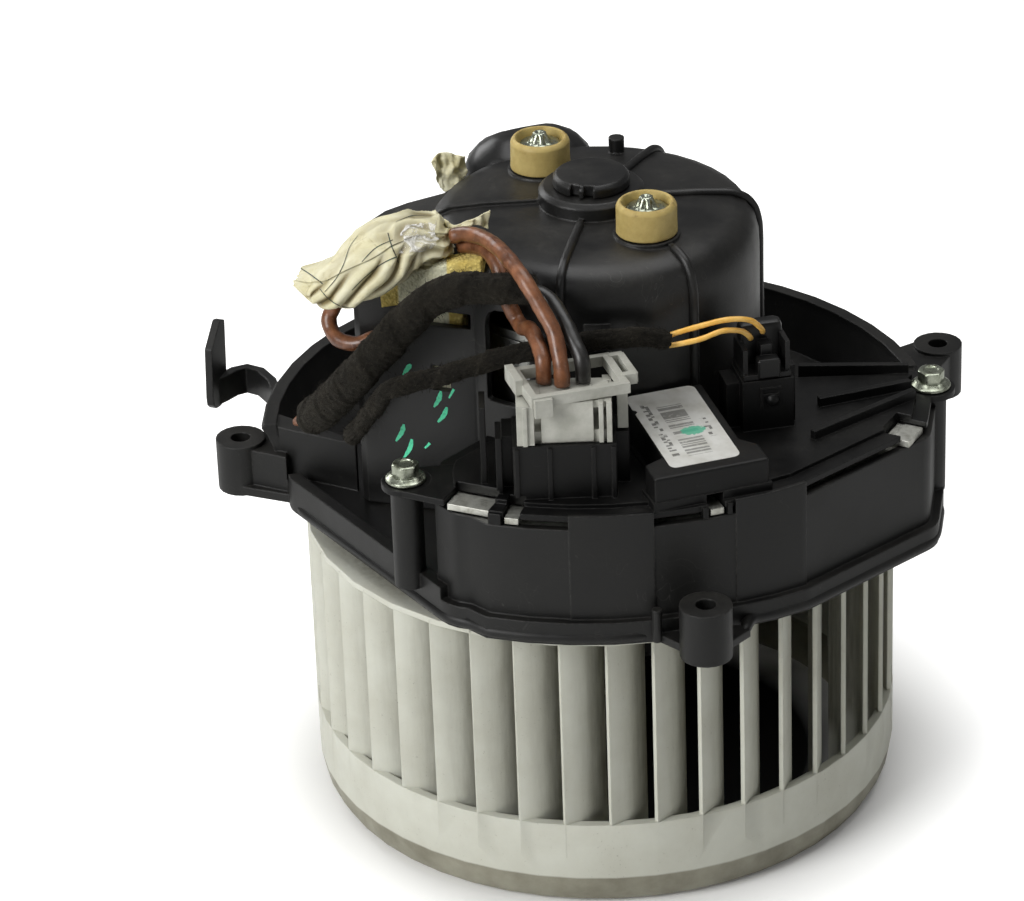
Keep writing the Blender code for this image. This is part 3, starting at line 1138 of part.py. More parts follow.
def make_signal_plug():
    corner = SIGNAL_CORNER
    turn = SIGNAL_TURN
    seat = SIGNAL_SOCKET_TOP + CLEARANCE
    plug = turned_box("signal_plug", corner, turn, (0.0004, 0.0004, seat), (0.0134, 0.0120, seat + 0.0014), PLASTIC_COVER)
    back = turned_box("signal_back", corner, turn, (0.0010, 0.0068, seat), (0.0130, 0.0118, seat + 0.0134))
    latch = turned_box("signal_latch", corner, turn, (0.0042, -0.0004, seat + 0.0002), (0.0104, 0.0036, seat + 0.0058))
    parts = [soften(back, 0.0016, 2), soften(latch, 0.0005, 1),
             turned_box("signal_stem", corner, turn, (0.0020, 0.0020, seat - 0.0070), (0.0120, 0.0105, seat + 0.0008)),
             turned_box("signal_neck", corner, turn, (0.0058, 0.0030, seat + 0.0001), (0.0088, 0.0072, seat + 0.0088)),
             turned_box("signal_wall_a", corner, turn, (0.0005, 0.0012, seat + 0.0001), (0.0018, 0.0117, seat + 0.0085)),
             turned_box("signal_wall_b", corner, turn, (0.0120, 0.0012, seat + 0.0001), (0.0133, 0.0117, seat + 0.0100))]
    return join(plug, parts)


def make_soft_pieces():
    """Foam pad in the duct, and the tape that wraps the leads."""
    plate("foam_pad", [(-0.0565, -0.0205), (-0.0360, -0.0275), (-0.0345, -0.0225), (-0.0545, -0.0160)],
          0.1300, 0.1575, FOAM)

    line = [(-0.0400, -0.0175, 0.1757), (-0.0470, -0.0195, 0.1753), (-0.0560, -0.0230, 0.1732),
            (-0.0655, -0.0255, 0.1702), (-0.0718, -0.0235, 0.1654), (-0.0765, -0.0205, 0.1610), (-0.0805, -0.0185, 0.1592)]
    taper = [(0.0070, 0.0034), (0.0110, 0.0056), (0.0145, 0.0072), (0.0140, 0.0056), (0.0110, 0.0060),
             (0.0095, 0.0062), (0.0060, 0.0038)]
    loft("tape_wrap", line, taper, TAPE)
    scrap = [(-0.0340, 0.0300, 0.1752), (-0.0375, 0.0272, 0.1735), (-0.0410, 0.0290, 0.1728), (-0.0445, 0.0268, 0.1740)]
    loft("tape_scrap", scrap, [(0.0006, 0.0024), (0.0007, 0.0044), (0.0007, 0.0046), (0.0005, 0.0022)], TAPE)


def loft(name, line, sizes, finish, sides=12):
    """A closed skin of oval sections set across a line."""
    bm = bmesh.new()
    rings = []
    last = len(line) - 1
    for i, (centre, (wide, thick)) in enumerate(zip(line, sizes)):
        here = Vector(centre)
        along = (Vector(line[min(i + 1, last)]) - Vector(line[max(i - 1, 0)])).normalized()
        side = along.cross(Vector((0, 0, 1))).normalized()
        up = side.cross(along).normalized()
        ring = []
        for k in range(sides):
            angle = math.tau * k / sides
            ring.append(bm.verts.new(here + side * wide * math.cos(angle) + up * thick * math.sin(angle)))
        rings.append(ring)
    for first, second in zip(rings, rings[1:]):
        for k in range(sides):
            n = (k + 1) % sides
            bm.faces.new((first[k], first[n], second[n], second[k]))
    bm.faces.new(rings[0][::-1])
    bm.faces.new(rings[-1])
    return place(name, mesh_from(name, bm), finish)


ROUTES = {
    "harness_sheath": ([(-0.0165, -0.0500, 0.1731), (-0.0231, -0.0480, 0.1726), (-0.0310, -0.0450, 0.1718),
                        (-0.0390, -0.0420, 0.1697), (-0.0458, -0.0400, 0.1651), (-0.0515, -0.0380, 0.1584),
                        (-0.0571, -0.0370, 0.1522), (-0.0628, -0.0350, 0.1445), (-0.0686, -0.0300, 0.1360),
                        (-0.0746, -0.0220, 0.1261), (-0.0787, -0.0140, 0.1190)], SHEATH_RADIUS, FLEECE),
    "harness_branch": ([(-0.0675, -0.0240, 0.1180), (-0.0645, -0.0320, 0.1260), (-0.0600, -0.0405, 0.1360),
                        (-0.0560, -0.0450, 0.1428), (-0.0507, -0.0470, 0.1453), (-0.0426, -0.0490, 0.1484),
                        (-0.0318, -0.0515, 0.1525), (-0.0211, -0.0535, 0.1566), (-0.0105, -0.0545, 0.1585),
                        (0.0001, -0.0540, 0.1595), (0.0107, -0.0520, 0.1592), (0.0181, -0.0500, 0.1570)],
                       BRANCH_RADIUS, FLEECE),
    "brown_wire_front": ([(-0.0378, -0.0255, 0.1780), (-0.0343, -0.0275, 0.1794), (-0.0295, -0.0335, 0.1807),
                          (-0.0254, -0.0415, 0.1811), (-0.0220, -0.0490, 0.1800), (-0.0192, -0.0550, 0.1782),
                          (-0.0159, -0.0588, 0.1734), (-0.0122, -0.0632, 0.1672), (-0.0108, -0.0680, 0.1608),
                          (-0.0105, -0.0693, 0.1574), (-0.0105, -0.0693, 0.1549)], POWER_WIRE_RADIUS, BROWN_SLEEVE),
    "brown_wire_rear": ([(-0.0357, -0.0235, 0.1743), (-0.0322, -0.0266, 0.1751), (-0.0288, -0.0312, 0.1758),
                         (-0.0263, -0.0362, 0.1741), (-0.0247, -0.0402, 0.1700), (-0.0235, -0.0424, 0.1655),
                         (-0.0214, -0.0445, 0.1615), (-0.0200, -0.0490, 0.1616), (-0.0184, -0.0550, 0.1642),
                         (-0.0167, -0.0608, 0.1636), (-0.0154, -0.0655, 0.1612), (-0.0152, -0.0668, 0.1588),
                         (-0.0152, -0.0668, 0.1547)], POWER_WIRE_RADIUS, BROWN_SLEEVE),
    "brown_wire_loop": ([(-0.0712, -0.0160, 0.1530), (-0.0724, -0.0165, 0.1504), (-0.0718, -0.0182, 0.1478),
                         (-0.0696, -0.0218, 0.1464), (-0.0645, -0.0247, 0.1466), (-0.0592, -0.0251, 0.1488)],
                        POWER_WIRE_RADIUS, BROWN_SLEEVE),
    "black_wire": ([(-0.0108, -0.0516, 0.1740), (-0.0092, -0.0545, 0.1720), (-0.0084, -0.0585, 0.1680),
                    (-0.0072, -0.0628, 0.1642), (-0.0054, -0.0662, 0.1612), (-0.0050, -0.0672, 0.1588),
                    (-0.0050, -0.0672, 0.1547)], POWER_WIRE_RADIUS, BLACK_SLEEVE),
    "yellow_wire_upper": ([(0.0197, -0.0485, 0.1580), (0.0266, -0.0478, 0.1596), (0.0340, -0.0462, 0.1604),
                           (0.0400, -0.0438, 0.1588), (0.0430, -0.0418, 0.1553), (0.0436, -0.0396, 0.1531)],
                          SIGNAL_WIRE_RADIUS, YELLOW_SLEEVE),
    "yellow_wire_lower": ([(0.0195, -0.0503, 0.1556), (0.0264, -0.0500, 0.1568), (0.0325, -0.0480, 0.1580),
                           (0.0375, -0.0448, 0.1562), (0.0398, -0.0424, 0.1534), (0.0402, -0.0402, 0.1520)],
                          SIGNAL_WIRE_RADIUS, YELLOW_SLEEVE),
}


def make_harness():
    for name, (route, radius, finish) in ROUTES.items():
        lead(name, route, radius, finish, narrow=SHEATH_NARROW if name == "harness_sheath" else 1.0)


make_fan_wheel()
make_rotor()
make_motor()
make_mounting_flange()
make_motor_cover()
make_cap_and_dampers()
make_controller_cover()
make_cover_screws()
make_heat_sink()
make_plugs()
make_soft_pieces()
make_harness()
bpy.context.view_layer.update()
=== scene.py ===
# Car cabin blower motor, dressed for a studio picture.
# All sizes are in metres; "mm" in a name says that the value is in millimetres.
import json
import math
import random

import bmesh
import bpy
from mathutils import Matrix, Vector, noise
from mathutils.bvhtree import BVHTree

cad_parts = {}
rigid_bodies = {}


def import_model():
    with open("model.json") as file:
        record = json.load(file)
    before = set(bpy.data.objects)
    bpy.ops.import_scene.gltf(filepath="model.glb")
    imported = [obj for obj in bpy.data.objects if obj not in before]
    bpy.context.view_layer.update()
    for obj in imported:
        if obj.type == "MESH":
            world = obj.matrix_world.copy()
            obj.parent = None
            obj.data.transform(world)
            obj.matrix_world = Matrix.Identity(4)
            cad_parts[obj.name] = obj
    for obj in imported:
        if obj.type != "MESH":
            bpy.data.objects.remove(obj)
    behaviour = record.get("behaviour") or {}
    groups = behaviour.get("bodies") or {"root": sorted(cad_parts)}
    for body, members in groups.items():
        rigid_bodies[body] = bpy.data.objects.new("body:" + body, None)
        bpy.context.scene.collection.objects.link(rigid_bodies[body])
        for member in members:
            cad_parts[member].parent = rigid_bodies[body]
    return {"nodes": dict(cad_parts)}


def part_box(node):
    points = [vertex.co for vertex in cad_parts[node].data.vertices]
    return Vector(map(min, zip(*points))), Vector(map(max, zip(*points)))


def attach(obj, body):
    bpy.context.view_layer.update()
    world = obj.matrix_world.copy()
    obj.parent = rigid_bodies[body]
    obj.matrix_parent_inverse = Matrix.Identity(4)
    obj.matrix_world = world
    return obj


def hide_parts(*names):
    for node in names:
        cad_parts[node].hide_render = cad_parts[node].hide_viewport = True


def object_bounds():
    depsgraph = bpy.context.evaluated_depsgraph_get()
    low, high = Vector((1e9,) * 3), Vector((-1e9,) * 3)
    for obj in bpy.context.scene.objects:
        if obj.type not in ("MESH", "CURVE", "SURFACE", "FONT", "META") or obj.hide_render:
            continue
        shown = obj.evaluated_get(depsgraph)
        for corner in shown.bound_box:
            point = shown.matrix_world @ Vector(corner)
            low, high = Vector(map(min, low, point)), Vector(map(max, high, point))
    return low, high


for leftover in list(bpy.data.objects):
    bpy.data.objects.remove(leftover)

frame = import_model()
nodes = frame["nodes"]
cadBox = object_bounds()
chance = random.Random(41)
print("frame loaded:", len(nodes), "CAD pieces")


camera = {
    "lensMm": 157.422,
    "sensorMm": 36.0,
    "place": (-0.0241774, -1.1045407, 0.6653706),
    "right": (0.99930257, -0.01755372, -0.03295822),
    "down": (-0.03734136, -0.46976001, -0.88200406),
    "forward": (0.0, 0.88261962, -0.47008786),
    "imageWide": 1024,
    "imageHigh": 901,
    "near": 0.05,
    "far": 20.0,
}


def makeCamera():
    data = bpy.data.cameras.new("camera")
    data.lens = camera["lensMm"]
    data.sensor_width = camera["sensorMm"]
    data.sensor_fit = "HORIZONTAL"
    data.clip_start = camera["near"]
    data.clip_end = camera["far"]
    made = bpy.data.objects.new("camera", data)
    right, down, forward = (Vector(camera[k]) for k in ("right", "down", "forward"))
    turn = Matrix((right, -down, -forward)).transposed().to_4x4()
    made.matrix_world = Matrix.Translation(camera["place"]) @ turn
    bpy.context.scene.collection.objects.link(made)
    bpy.context.scene.camera = made
    return made


def sightLine(u, v):
    # from the camera through a point of the picture
    scale = camera["lensMm"] / camera["sensorMm"] * camera["imageWide"]
    across = (u - camera["imageWide"] / 2) / scale
    downward = (v - camera["imageHigh"] / 2) / scale
    way = Vector(camera["forward"]) + Vector(camera["right"]) * across + Vector(camera["down"]) * downward
    return Vector(camera["place"]), way.normalized()


makeCamera()
print("camera set")


def linear(colour):
    # sRGB hex to linear, with alpha
    parts = [int(colour[i:i + 2], 16) / 255 for i in (1, 3, 5)]
    return tuple(p / 12.92 if p <= 0.04045 else ((p + 0.055) / 1.055) ** 2.4 for p in parts) + (1.0,)


def perMm(size):
    # texture scale for features of this size in millimetres
    return 1000.0 / size


def newMaterial(name):
    made = bpy.data.materials.new(name)
    made.use_nodes = True
    made.node_tree.nodes.clear()
    return made


def addNode(material, kind, settings=None, inputs=None):
    # inputs go by name or number; on a colour mix 0 is the share, 6 and 7 are the two colours
    node = material.node_tree.nodes.new(kind)
    for name, value in (settings or {}).items():
        setattr(node, name, value)
    for name, value in (inputs or {}).items():
        if isinstance(value, bpy.types.NodeSocket):
            material.node_tree.links.new(value, node.inputs[name])
        else:
            node.inputs[name].default_value = value
    return node.outputs


colourMix = {"data_type": "RGBA"}
clampedProduct = {"operation": "MULTIPLY", "use_clamp": True}   # for shares, which stay between 0 and 1


def closeMaterial(material, shader):
    addNode(material, "ShaderNodeOutputMaterial", {}, {"Surface": shader[0]})
    return material


shaftEnd = 0.022  # the routes are written above the wheel's lower edge, as in the part

leadRoutes = {
    "harness_sheath": [(-0.0165, -0.0500, 0.1731), (-0.0231, -0.0480, 0.1726), (-0.0310, -0.0450, 0.1718),
                       (-0.0390, -0.0420, 0.1697), (-0.0458, -0.0400, 0.1651), (-0.0515, -0.0380, 0.1584),
                       (-0.0571, -0.0370, 0.1522), (-0.0628, -0.0350, 0.1445), (-0.0686, -0.0300, 0.1360),
                       (-0.0746, -0.0220, 0.1261), (-0.0787, -0.0140, 0.1190)],
    "harness_branch": [(-0.0675, -0.0240, 0.1180), (-0.0645, -0.0320, 0.1260), (-0.0600, -0.0405, 0.1360),
                       (-0.0560, -0.0450, 0.1428), (-0.0507, -0.0470, 0.1453), (-0.0426, -0.0490, 0.1484),
                       (-0.0318, -0.0515, 0.1525), (-0.0211, -0.0535, 0.1566), (-0.0105, -0.0545, 0.1585),
                       (0.0001, -0.0540, 0.1595), (0.0107, -0.0520, 0.1592), (0.0181, -0.0500, 0.1570)],
    "brown_wire_front": [(-0.0378, -0.0255, 0.1780), (-0.0343, -0.0275, 0.1794), (-0.0295, -0.0335, 0.1807),
                         (-0.0254, -0.0415, 0.1811), (-0.0220, -0.0490, 0.1800), (-0.0192, -0.0550, 0.1782),
                         (-0.0159, -0.0588, 0.1734), (-0.0122, -0.0632, 0.1672), (-0.0108, -0.0680, 0.1608),
                         (-0.0105, -0.0693, 0.1574), (-0.0105, -0.0693, 0.1549)],
    "brown_wire_rear": [(-0.0357, -0.0235, 0.1743), (-0.0322, -0.0266, 0.1751), (-0.0288, -0.0312, 0.1758),
                        (-0.0263, -0.0362, 0.1741), (-0.0247, -0.0402, 0.1700), (-0.0235, -0.0424, 0.1655),
                        (-0.0214, -0.0445, 0.1615), (-0.0200, -0.0490, 0.1616), (-0.0184, -0.0550, 0.1642),
                        (-0.0167, -0.0608, 0.1636), (-0.0154, -0.0655, 0.1612), (-0.0152, -0.0668, 0.1588),
                        (-0.0152, -0.0668, 0.1547)],
    "brown_wire_loop": [(-0.0640, -0.0225, 0.1620), (-0.0685, -0.0180, 0.1580), (-0.0712, -0.0160, 0.1530),
                        (-0.0724, -0.0165, 0.1504), (-0.0718, -0.0182, 0.1478), (-0.0696, -0.0218, 0.1464),
                        (-0.0645, -0.0247, 0.1466), (-0.0592, -0.0251, 0.1488)],
    "black_wire": [(-0.0190, -0.0490, 0.1722), (-0.0150, -0.0506, 0.1722), (-0.0116, -0.0540, 0.1702),
                   (-0.0090, -0.0588, 0.1672), (-0.0070, -0.0630, 0.1640), (-0.0054, -0.0662, 0.1612),
                   (-0.0050, -0.0672, 0.1588), (-0.0050, -0.0672, 0.1547)],
    "yellow_wire_upper": [(0.0175, -0.0492, 0.1574), (0.0197, -0.0485, 0.1580), (0.0266, -0.0478, 0.1596),
                          (0.0340, -0.0462, 0.1604), (0.0400, -0.0438, 0.1588), (0.0430, -0.0418, 0.1553),
                          (0.0436, -0.0396, 0.1531)],
    "yellow_wire_lower": [(0.0165, -0.0504, 0.1556), (0.0195, -0.0503, 0.1556), (0.0264, -0.0500, 0.1568),
                          (0.0325, -0.0480, 0.1580), (0.0375, -0.0448, 0.1562), (0.0398, -0.0424, 0.1534),
                          (0.0404, -0.0395, 0.1512)],
}


def curve(a, b, c, d, t):
    # the stretch from b to c of a smooth curve through four points, t from 0 to 1
    return 0.5 * (2 * b + (c - a) * t + (2 * a - 5 * b + 4 * c - d) * t ** 2 + (3 * b - a - 3 * c + d) * t ** 3)


def curveAt(points, share):
    # smooth reading of a list of vectors or numbers, share from 0 to 1
    at = share * (len(points) - 1)
    i = min(int(at), len(points) - 2)
    a, b, c, d = (points[max(0, min(len(points) - 1, i + k))] for k in (-1, 0, 1, 2))
    return curve(a, b, c, d, at - i)


def smoothLine(points, spacing, steps=16):
    # a smooth line through the points, read at even distances
    knots = [Vector(p) - Vector((0, 0, shaftEnd)) for p in points]
    knots = [knots[0] * 2 - knots[1]] + knots + [knots[-1] * 2 - knots[-2]]
    dense = []
    for a, b, c, d in zip(knots, knots[1:], knots[2:], knots[3:]):
        dense += [curve(a, b, c, d, k / steps) for k in range(steps)]
    dense.append(knots[-2])
    walked = [0.0]
    for p, q in zip(dense, dense[1:]):
        walked.append(walked[-1] + (q - p).length)
    count = max(8, round(walked[-1] / spacing))
    line, k = [], 0
    for i in range(count + 1):
        want = walked[-1] * i / count
        while k < len(dense) - 2 and walked[k + 1] < want:
            k += 1
        share = (want - walked[k]) / max(walked[k + 1] - walked[k], 1e-9)
        line.append(dense[k].lerp(dense[k + 1], min(1.0, share)))
    return line


def lineLength(line):
    return sum((q - p).length for p, q in zip(line, line[1:]))


def linkMesh(name, bm, material):
    mesh = bpy.data.meshes.new(name)
    bm.normal_update()
    bm.to_mesh(mesh)
    bm.free()
    for face in mesh.polygons:
        face.use_smooth = True
    mesh.materials.append(material)
    made = bpy.data.objects.new(name, mesh)
    bpy.context.scene.collection.objects.link(made)
    return made


def joinRows(bm, rows, closed=False, flipped=False):
    # four-sided faces between neighbouring rows of corners
    for first, second in zip(rows, rows[1:]):
        for k in range(len(first) if closed else len(first) - 1):
            n = (k + 1) % len(first)
            if flipped:
                bm.faces.new((first[k], first[n], second[n], second[k]))
            else:
                bm.faces.new((first[k], second[k], second[n], first[n]))


def tubeMesh(name, line, radiusAt, sides, material):
    # a round skin along a line; radiusAt(walked, angle) gives the radius there
    bm = bmesh.new()
    side = (line[1] - line[0]).cross(Vector((0, 0, 1))).normalized()
    rings, walked = [], 0.0
    for i, centre in enumerate(line):
        along = (line[min(i + 1, len(line) - 1)] - line[max(i - 1, 0)]).normalized()
        side = (side - along * side.dot(along)).normalized()
        up = along.cross(side)
        if i:
            walked += (centre - line[i - 1]).length
        ring = []
        for k in range(sides):
            angle = math.tau * k / sides
            radius = radiusAt(walked, angle)
            ring.append(bm.verts.new(centre + (side * math.cos(angle) + up * math.sin(angle)) * radius))
        rings.append(ring)
    joinRows(bm, rings, closed=True)
    bm.faces.new(rings[0])
    bm.faces.new(rings[-1][::-1])
    return linkMesh(name, bm, material)


def mouldedPlastic(finish):
    # injection moulded plastic: a fine grain, cloudy gloss, dust that settles on top, rubbed edges;
    # the grain is drawn two or three times as coarse as the real 0.15 mm, so that it shows
    made = newMaterial(finish["name"])
    place = addNode(made, "ShaderNodeTexCoord")["Object"]
    grain = addNode(made, "ShaderNodeTexNoise", {}, {
        "Vector": place, "Scale": perMm(finish["grainMm"]), "Detail": 3.0})["Fac"]
    cloud = addNode(made, "ShaderNodeTexNoise", {}, {
        "Vector": place, "Scale": perMm(finish["cloudMm"]), "Detail": 6.0, "Roughness": 0.62})["Fac"]
    speck = addNode(made, "ShaderNodeTexNoise", {}, {
        "Vector": place, "Scale": perMm(1.3), "Detail": 4.0, "Roughness": 0.7})["Fac"]
    hair = addNode(made, "ShaderNodeTexNoise", {}, {
        "Vector": place, "Scale": perMm(11.0), "Detail": 1.0, "Distortion": 1.8})["Fac"]
    normal = addNode(made, "ShaderNodeNewGeometry")["Normal"]
    upward = addNode(made, "ShaderNodeSeparateXYZ", {}, {0: normal})["Z"]
    soft = addNode(made, "ShaderNodeBevel", {"samples": 4}, {"Radius": finish["edgeMm"] / 1000})["Normal"]
    bend = addNode(made, "ShaderNodeVectorMath", {"operation": "DOT_PRODUCT"}, {0: soft, 1: normal})["Value"]
    # dust lies where the surface faces up, in patches
    settled = addNode(made, "ShaderNodeMath", clampedProduct, {
        0: addNode(made, "ShaderNodeMapRange", {}, {
            "Value": upward, "From Min": 0.1, "From Max": 0.95, "To Min": 0.15, "To Max": 1.0})[0],
        1: addNode(made, "ShaderNodeMapRange", {}, {"Value": cloud, "From Min": 0.4, "From Max": 0.66})[0]})[0]
    settled = addNode(made, "ShaderNodeMath", clampedProduct, {
        0: settled,
        1: addNode(made, "ShaderNodeMapRange", {}, {
            "Value": speck, "From Min": 0.38, "From Max": 0.6, "To Min": 0.35, "To Max": 1.0})[0]})[0]
    dusted = addNode(made, "ShaderNodeMath", clampedProduct, {
        0: settled, 1: finish["dust"]})[0]
    rubbed = addNode(made, "ShaderNodeMath", clampedProduct, {
        0: addNode(made, "ShaderNodeMapRange", {}, {"Value": bend, "From Min": 0.985, "From Max": 0.86})[0],
        1: addNode(made, "ShaderNodeMapRange", {}, {
            "Value": speck, "From Min": 0.4, "From Max": 0.62, "To Min": 0.2, "To Max": 1.0})[0]})[0]
    rubbed = addNode(made, "ShaderNodeMath", clampedProduct, {
        0: rubbed, 1: finish["rub"]})[0]
    # hairlines are the thin contours of a slow noise
    line = addNode(made, "ShaderNodeMath", {"operation": "ABSOLUTE", "use_clamp": True}, {
        0: addNode(made, "ShaderNodeMath", {"operation": "SUBTRACT"}, {0: hair, 1: 0.5})[0], 1: 0.0})[0]
    scratch = addNode(made, "ShaderNodeMath", clampedProduct, {
        0: addNode(made, "ShaderNodeMapRange", {}, {
            "Value": line, "From Min": 0.0045, "From Max": 0.0, "To Max": 1.0})[0],
        1: addNode(made, "ShaderNodeMapRange", {}, {"Value": cloud, "From Min": 0.5, "From Max": 0.62})[0]})[0]
    scratch = addNode(made, "ShaderNodeMath", clampedProduct, {
        0: scratch, 1: finish["scratch"]})[0]
    colour = addNode(made, "ShaderNodeMix", colourMix, {
        0: addNode(made, "ShaderNodeMapRange", {}, {"Value": cloud, "From Min": 0.35, "From Max": 0.65})[0],
        6: linear(finish["dark"]), 7: linear(finish["light"])})[2]
    colour = addNode(made, "ShaderNodeMix", colourMix, {
        0: dusted, 6: colour, 7: linear(finish["dustColour"])})[2]
    colour = addNode(made, "ShaderNodeMix", colourMix, {
        0: rubbed, 6: colour, 7: linear(finish["rubColour"])})[2]
    colour = addNode(made, "ShaderNodeMix", colourMix, {
        0: scratch, 6: colour, 7: linear(finish["rubColour"])})[2]
    rough = addNode(made, "ShaderNodeMapRange", {}, {
        "Value": cloud, "From Min": 0.3, "From Max": 0.7, "To Min": finish["rough"] - 0.07,
        "To Max": finish["rough"] + 0.09})[0]
    rough = addNode(made, "ShaderNodeMath", {"operation": "MULTIPLY_ADD"}, {0: dusted, 1: 0.35, 2: rough})[0]
    bump = addNode(made, "ShaderNodeBump", {}, {
        "Strength": finish["grain"], "Distance": finish["grainMm"] / 6000, "Height": grain, "Normal": soft})["Normal"]
    bump = addNode(made, "ShaderNodeBump", {"invert": True}, {
        "Strength": 0.25, "Distance": 0.00004, "Height": scratch, "Normal": bump})["Normal"]
    shader = addNode(made, "ShaderNodeBsdfPrincipled", {}, {
        "Base Color": colour, "Roughness": rough, "Normal": bump, "IOR": finish["ior"],
        "Specular IOR Level": finish["gloss"]})
    return closeMaterial(made, shader)


# talc filled polypropylene: grey-black, satin, shows dust and chalky rubs
flangePolypropylene = mouldedPlastic({
    "name": "flangePolypropylene", "grainMm": 0.45, "cloudMm": 26.0, "edgeMm": 0.7, "dust": 0.10, "rub": 0.5,
    "scratch": 0.4, "grain": 0.35, "dark": "#0B0B0B", "light": "#131312", "dustColour": "#5A554B",
    "rubColour": "#4A4946", "rough": 0.44, "ior": 1.49, "gloss": 0.36})
# glass filled nylon dome: smoother and a little shinier than the flange
coverNylon = mouldedPlastic({
    "name": "coverNylon", "grainMm": 0.6, "cloudMm": 22.0, "edgeMm": 0.8, "dust": 0.14, "rub": 0.40,
    "scratch": 0.45, "grain": 0.25, "dark": "#111111", "light": "#191918", "dustColour": "#5E5A52",
    "rubColour": "#565552", "rough": 0.38, "ior": 1.52, "gloss": 0.42})
# black polyester cover over the electronics: the blackest and cleanest
controllerPolyester = mouldedPlastic({
    "name": "controllerPolyester", "grainMm": 0.4, "cloudMm": 18.0, "edgeMm": 0.5, "dust": 0.07, "rub": 0.4,
    "scratch": 0.25, "grain": 0.30, "dark": "#060606", "light": "#0B0B0B", "dustColour": "#4F4C45",
    "rubColour": "#464542", "rough": 0.42, "ior": 1.50, "gloss": 0.26})
# black connector nylon: crisp and slightly glossy
connectorNylon = mouldedPlastic({
    "name": "connectorNylon", "grainMm": 0.35, "cloudMm": 9.0, "edgeMm": 0.3, "dust": 0.08, "rub": 0.4,
    "scratch": 0.2, "grain": 0.25, "dark": "#090909", "light": "#101010", "dustColour": "#4F4C45",
    "rubColour": "#4A4946", "rough": 0.38, "ior": 1.50, "gloss": 0.36})
# natural polyester plug: milky white with a trace of grime in its corners
naturalPolyester = mouldedPlastic({
    "name": "naturalPolyester", "grainMm": 0.35, "cloudMm": 7.0, "edgeMm": 0.3, "dust": 0.45, "rub": 0.25,
    "scratch": 0.3, "grain": 0.2, "dark": "#A5A59B", "light": "#C2C2B9", "dustColour": "#6E6958",
    "rubColour": "#C4C4BA", "rough": 0.40, "ior": 1.50, "gloss": 0.5})
# brush holder resin: dull brown-black inside the motor
phenolicResin = mouldedPlastic({
    "name": "phenolicResin", "grainMm": 0.5, "cloudMm": 9.0, "edgeMm": 0.3, "dust": 0.2, "rub": 0.3,
    "scratch": 0.1, "grain": 0.4, "dark": "#241C17", "light": "#33281F", "dustColour": "#5F564A",
    "rubColour": "#584B3E", "rough": 0.55, "ior": 1.55, "gloss": 0.5})
# solder resist over copper: green and glossy
circuitResist = mouldedPlastic({
    "name": "circuitResist", "grainMm": 0.8, "cloudMm": 5.0, "edgeMm": 0.2, "dust": 0.2, "rub": 0.3,
    "scratch": 0.6, "grain": 0.2, "dark": "#12351F", "light": "#1B4A2C", "dustColour": "#5D6350",
    "rubColour": "#8A7A4A", "rough": 0.30, "ior": 1.55, "gloss": 0.5})
# pressed ferrite: matt charcoal with a fine sandy grain
pressedFerrite = mouldedPlastic({
    "name": "pressedFerrite", "grainMm": 0.3, "cloudMm": 8.0, "edgeMm": 0.4, "dust": 0.15, "rub": 0.6,
    "scratch": 0.1, "grain": 0.7, "dark": "#1C1C1E", "light": "#29292B", "dustColour": "#5A5855",
    "rubColour": "#55555A", "rough": 0.72, "ior": 1.6, "gloss": 0.4})
# carbon brush: soft, sooty, slightly shiny where it is pressed
pressedCarbon = mouldedPlastic({
    "name": "pressedCarbon", "grainMm": 0.25, "cloudMm": 3.0, "edgeMm": 0.2, "dust": 0.1, "rub": 0.6,
    "scratch": 0.2, "grain": 0.6, "dark": "#17181A", "light": "#242527", "dustColour": "#4A4A4A",
    "rubColour": "#66676A", "rough": 0.58, "ior": 1.6, "gloss": 0.5})
print("black and white plastics made")

wheelFinish = {
    "clean": "#D0D1C5",        # natural polypropylene, a little green-grey
    "cloudy": "#C6C6B9",
    "lip": "#8F8B79",          # the lower lip, darker and warmer than the band
    # grime colour; deep in the blades it also stands for painted shade
    "grime": "#67624F",
    "film": "#12110F",         # painted shade inside the cage, near black, with a little dust
    "insideShadePale": "#1E1C18",
    "lipHeight": -0.0121,
    "cageRadius": 0.0712,
    "bladeRadius": 0.0825,
    "bandTop": 0.0048,
}


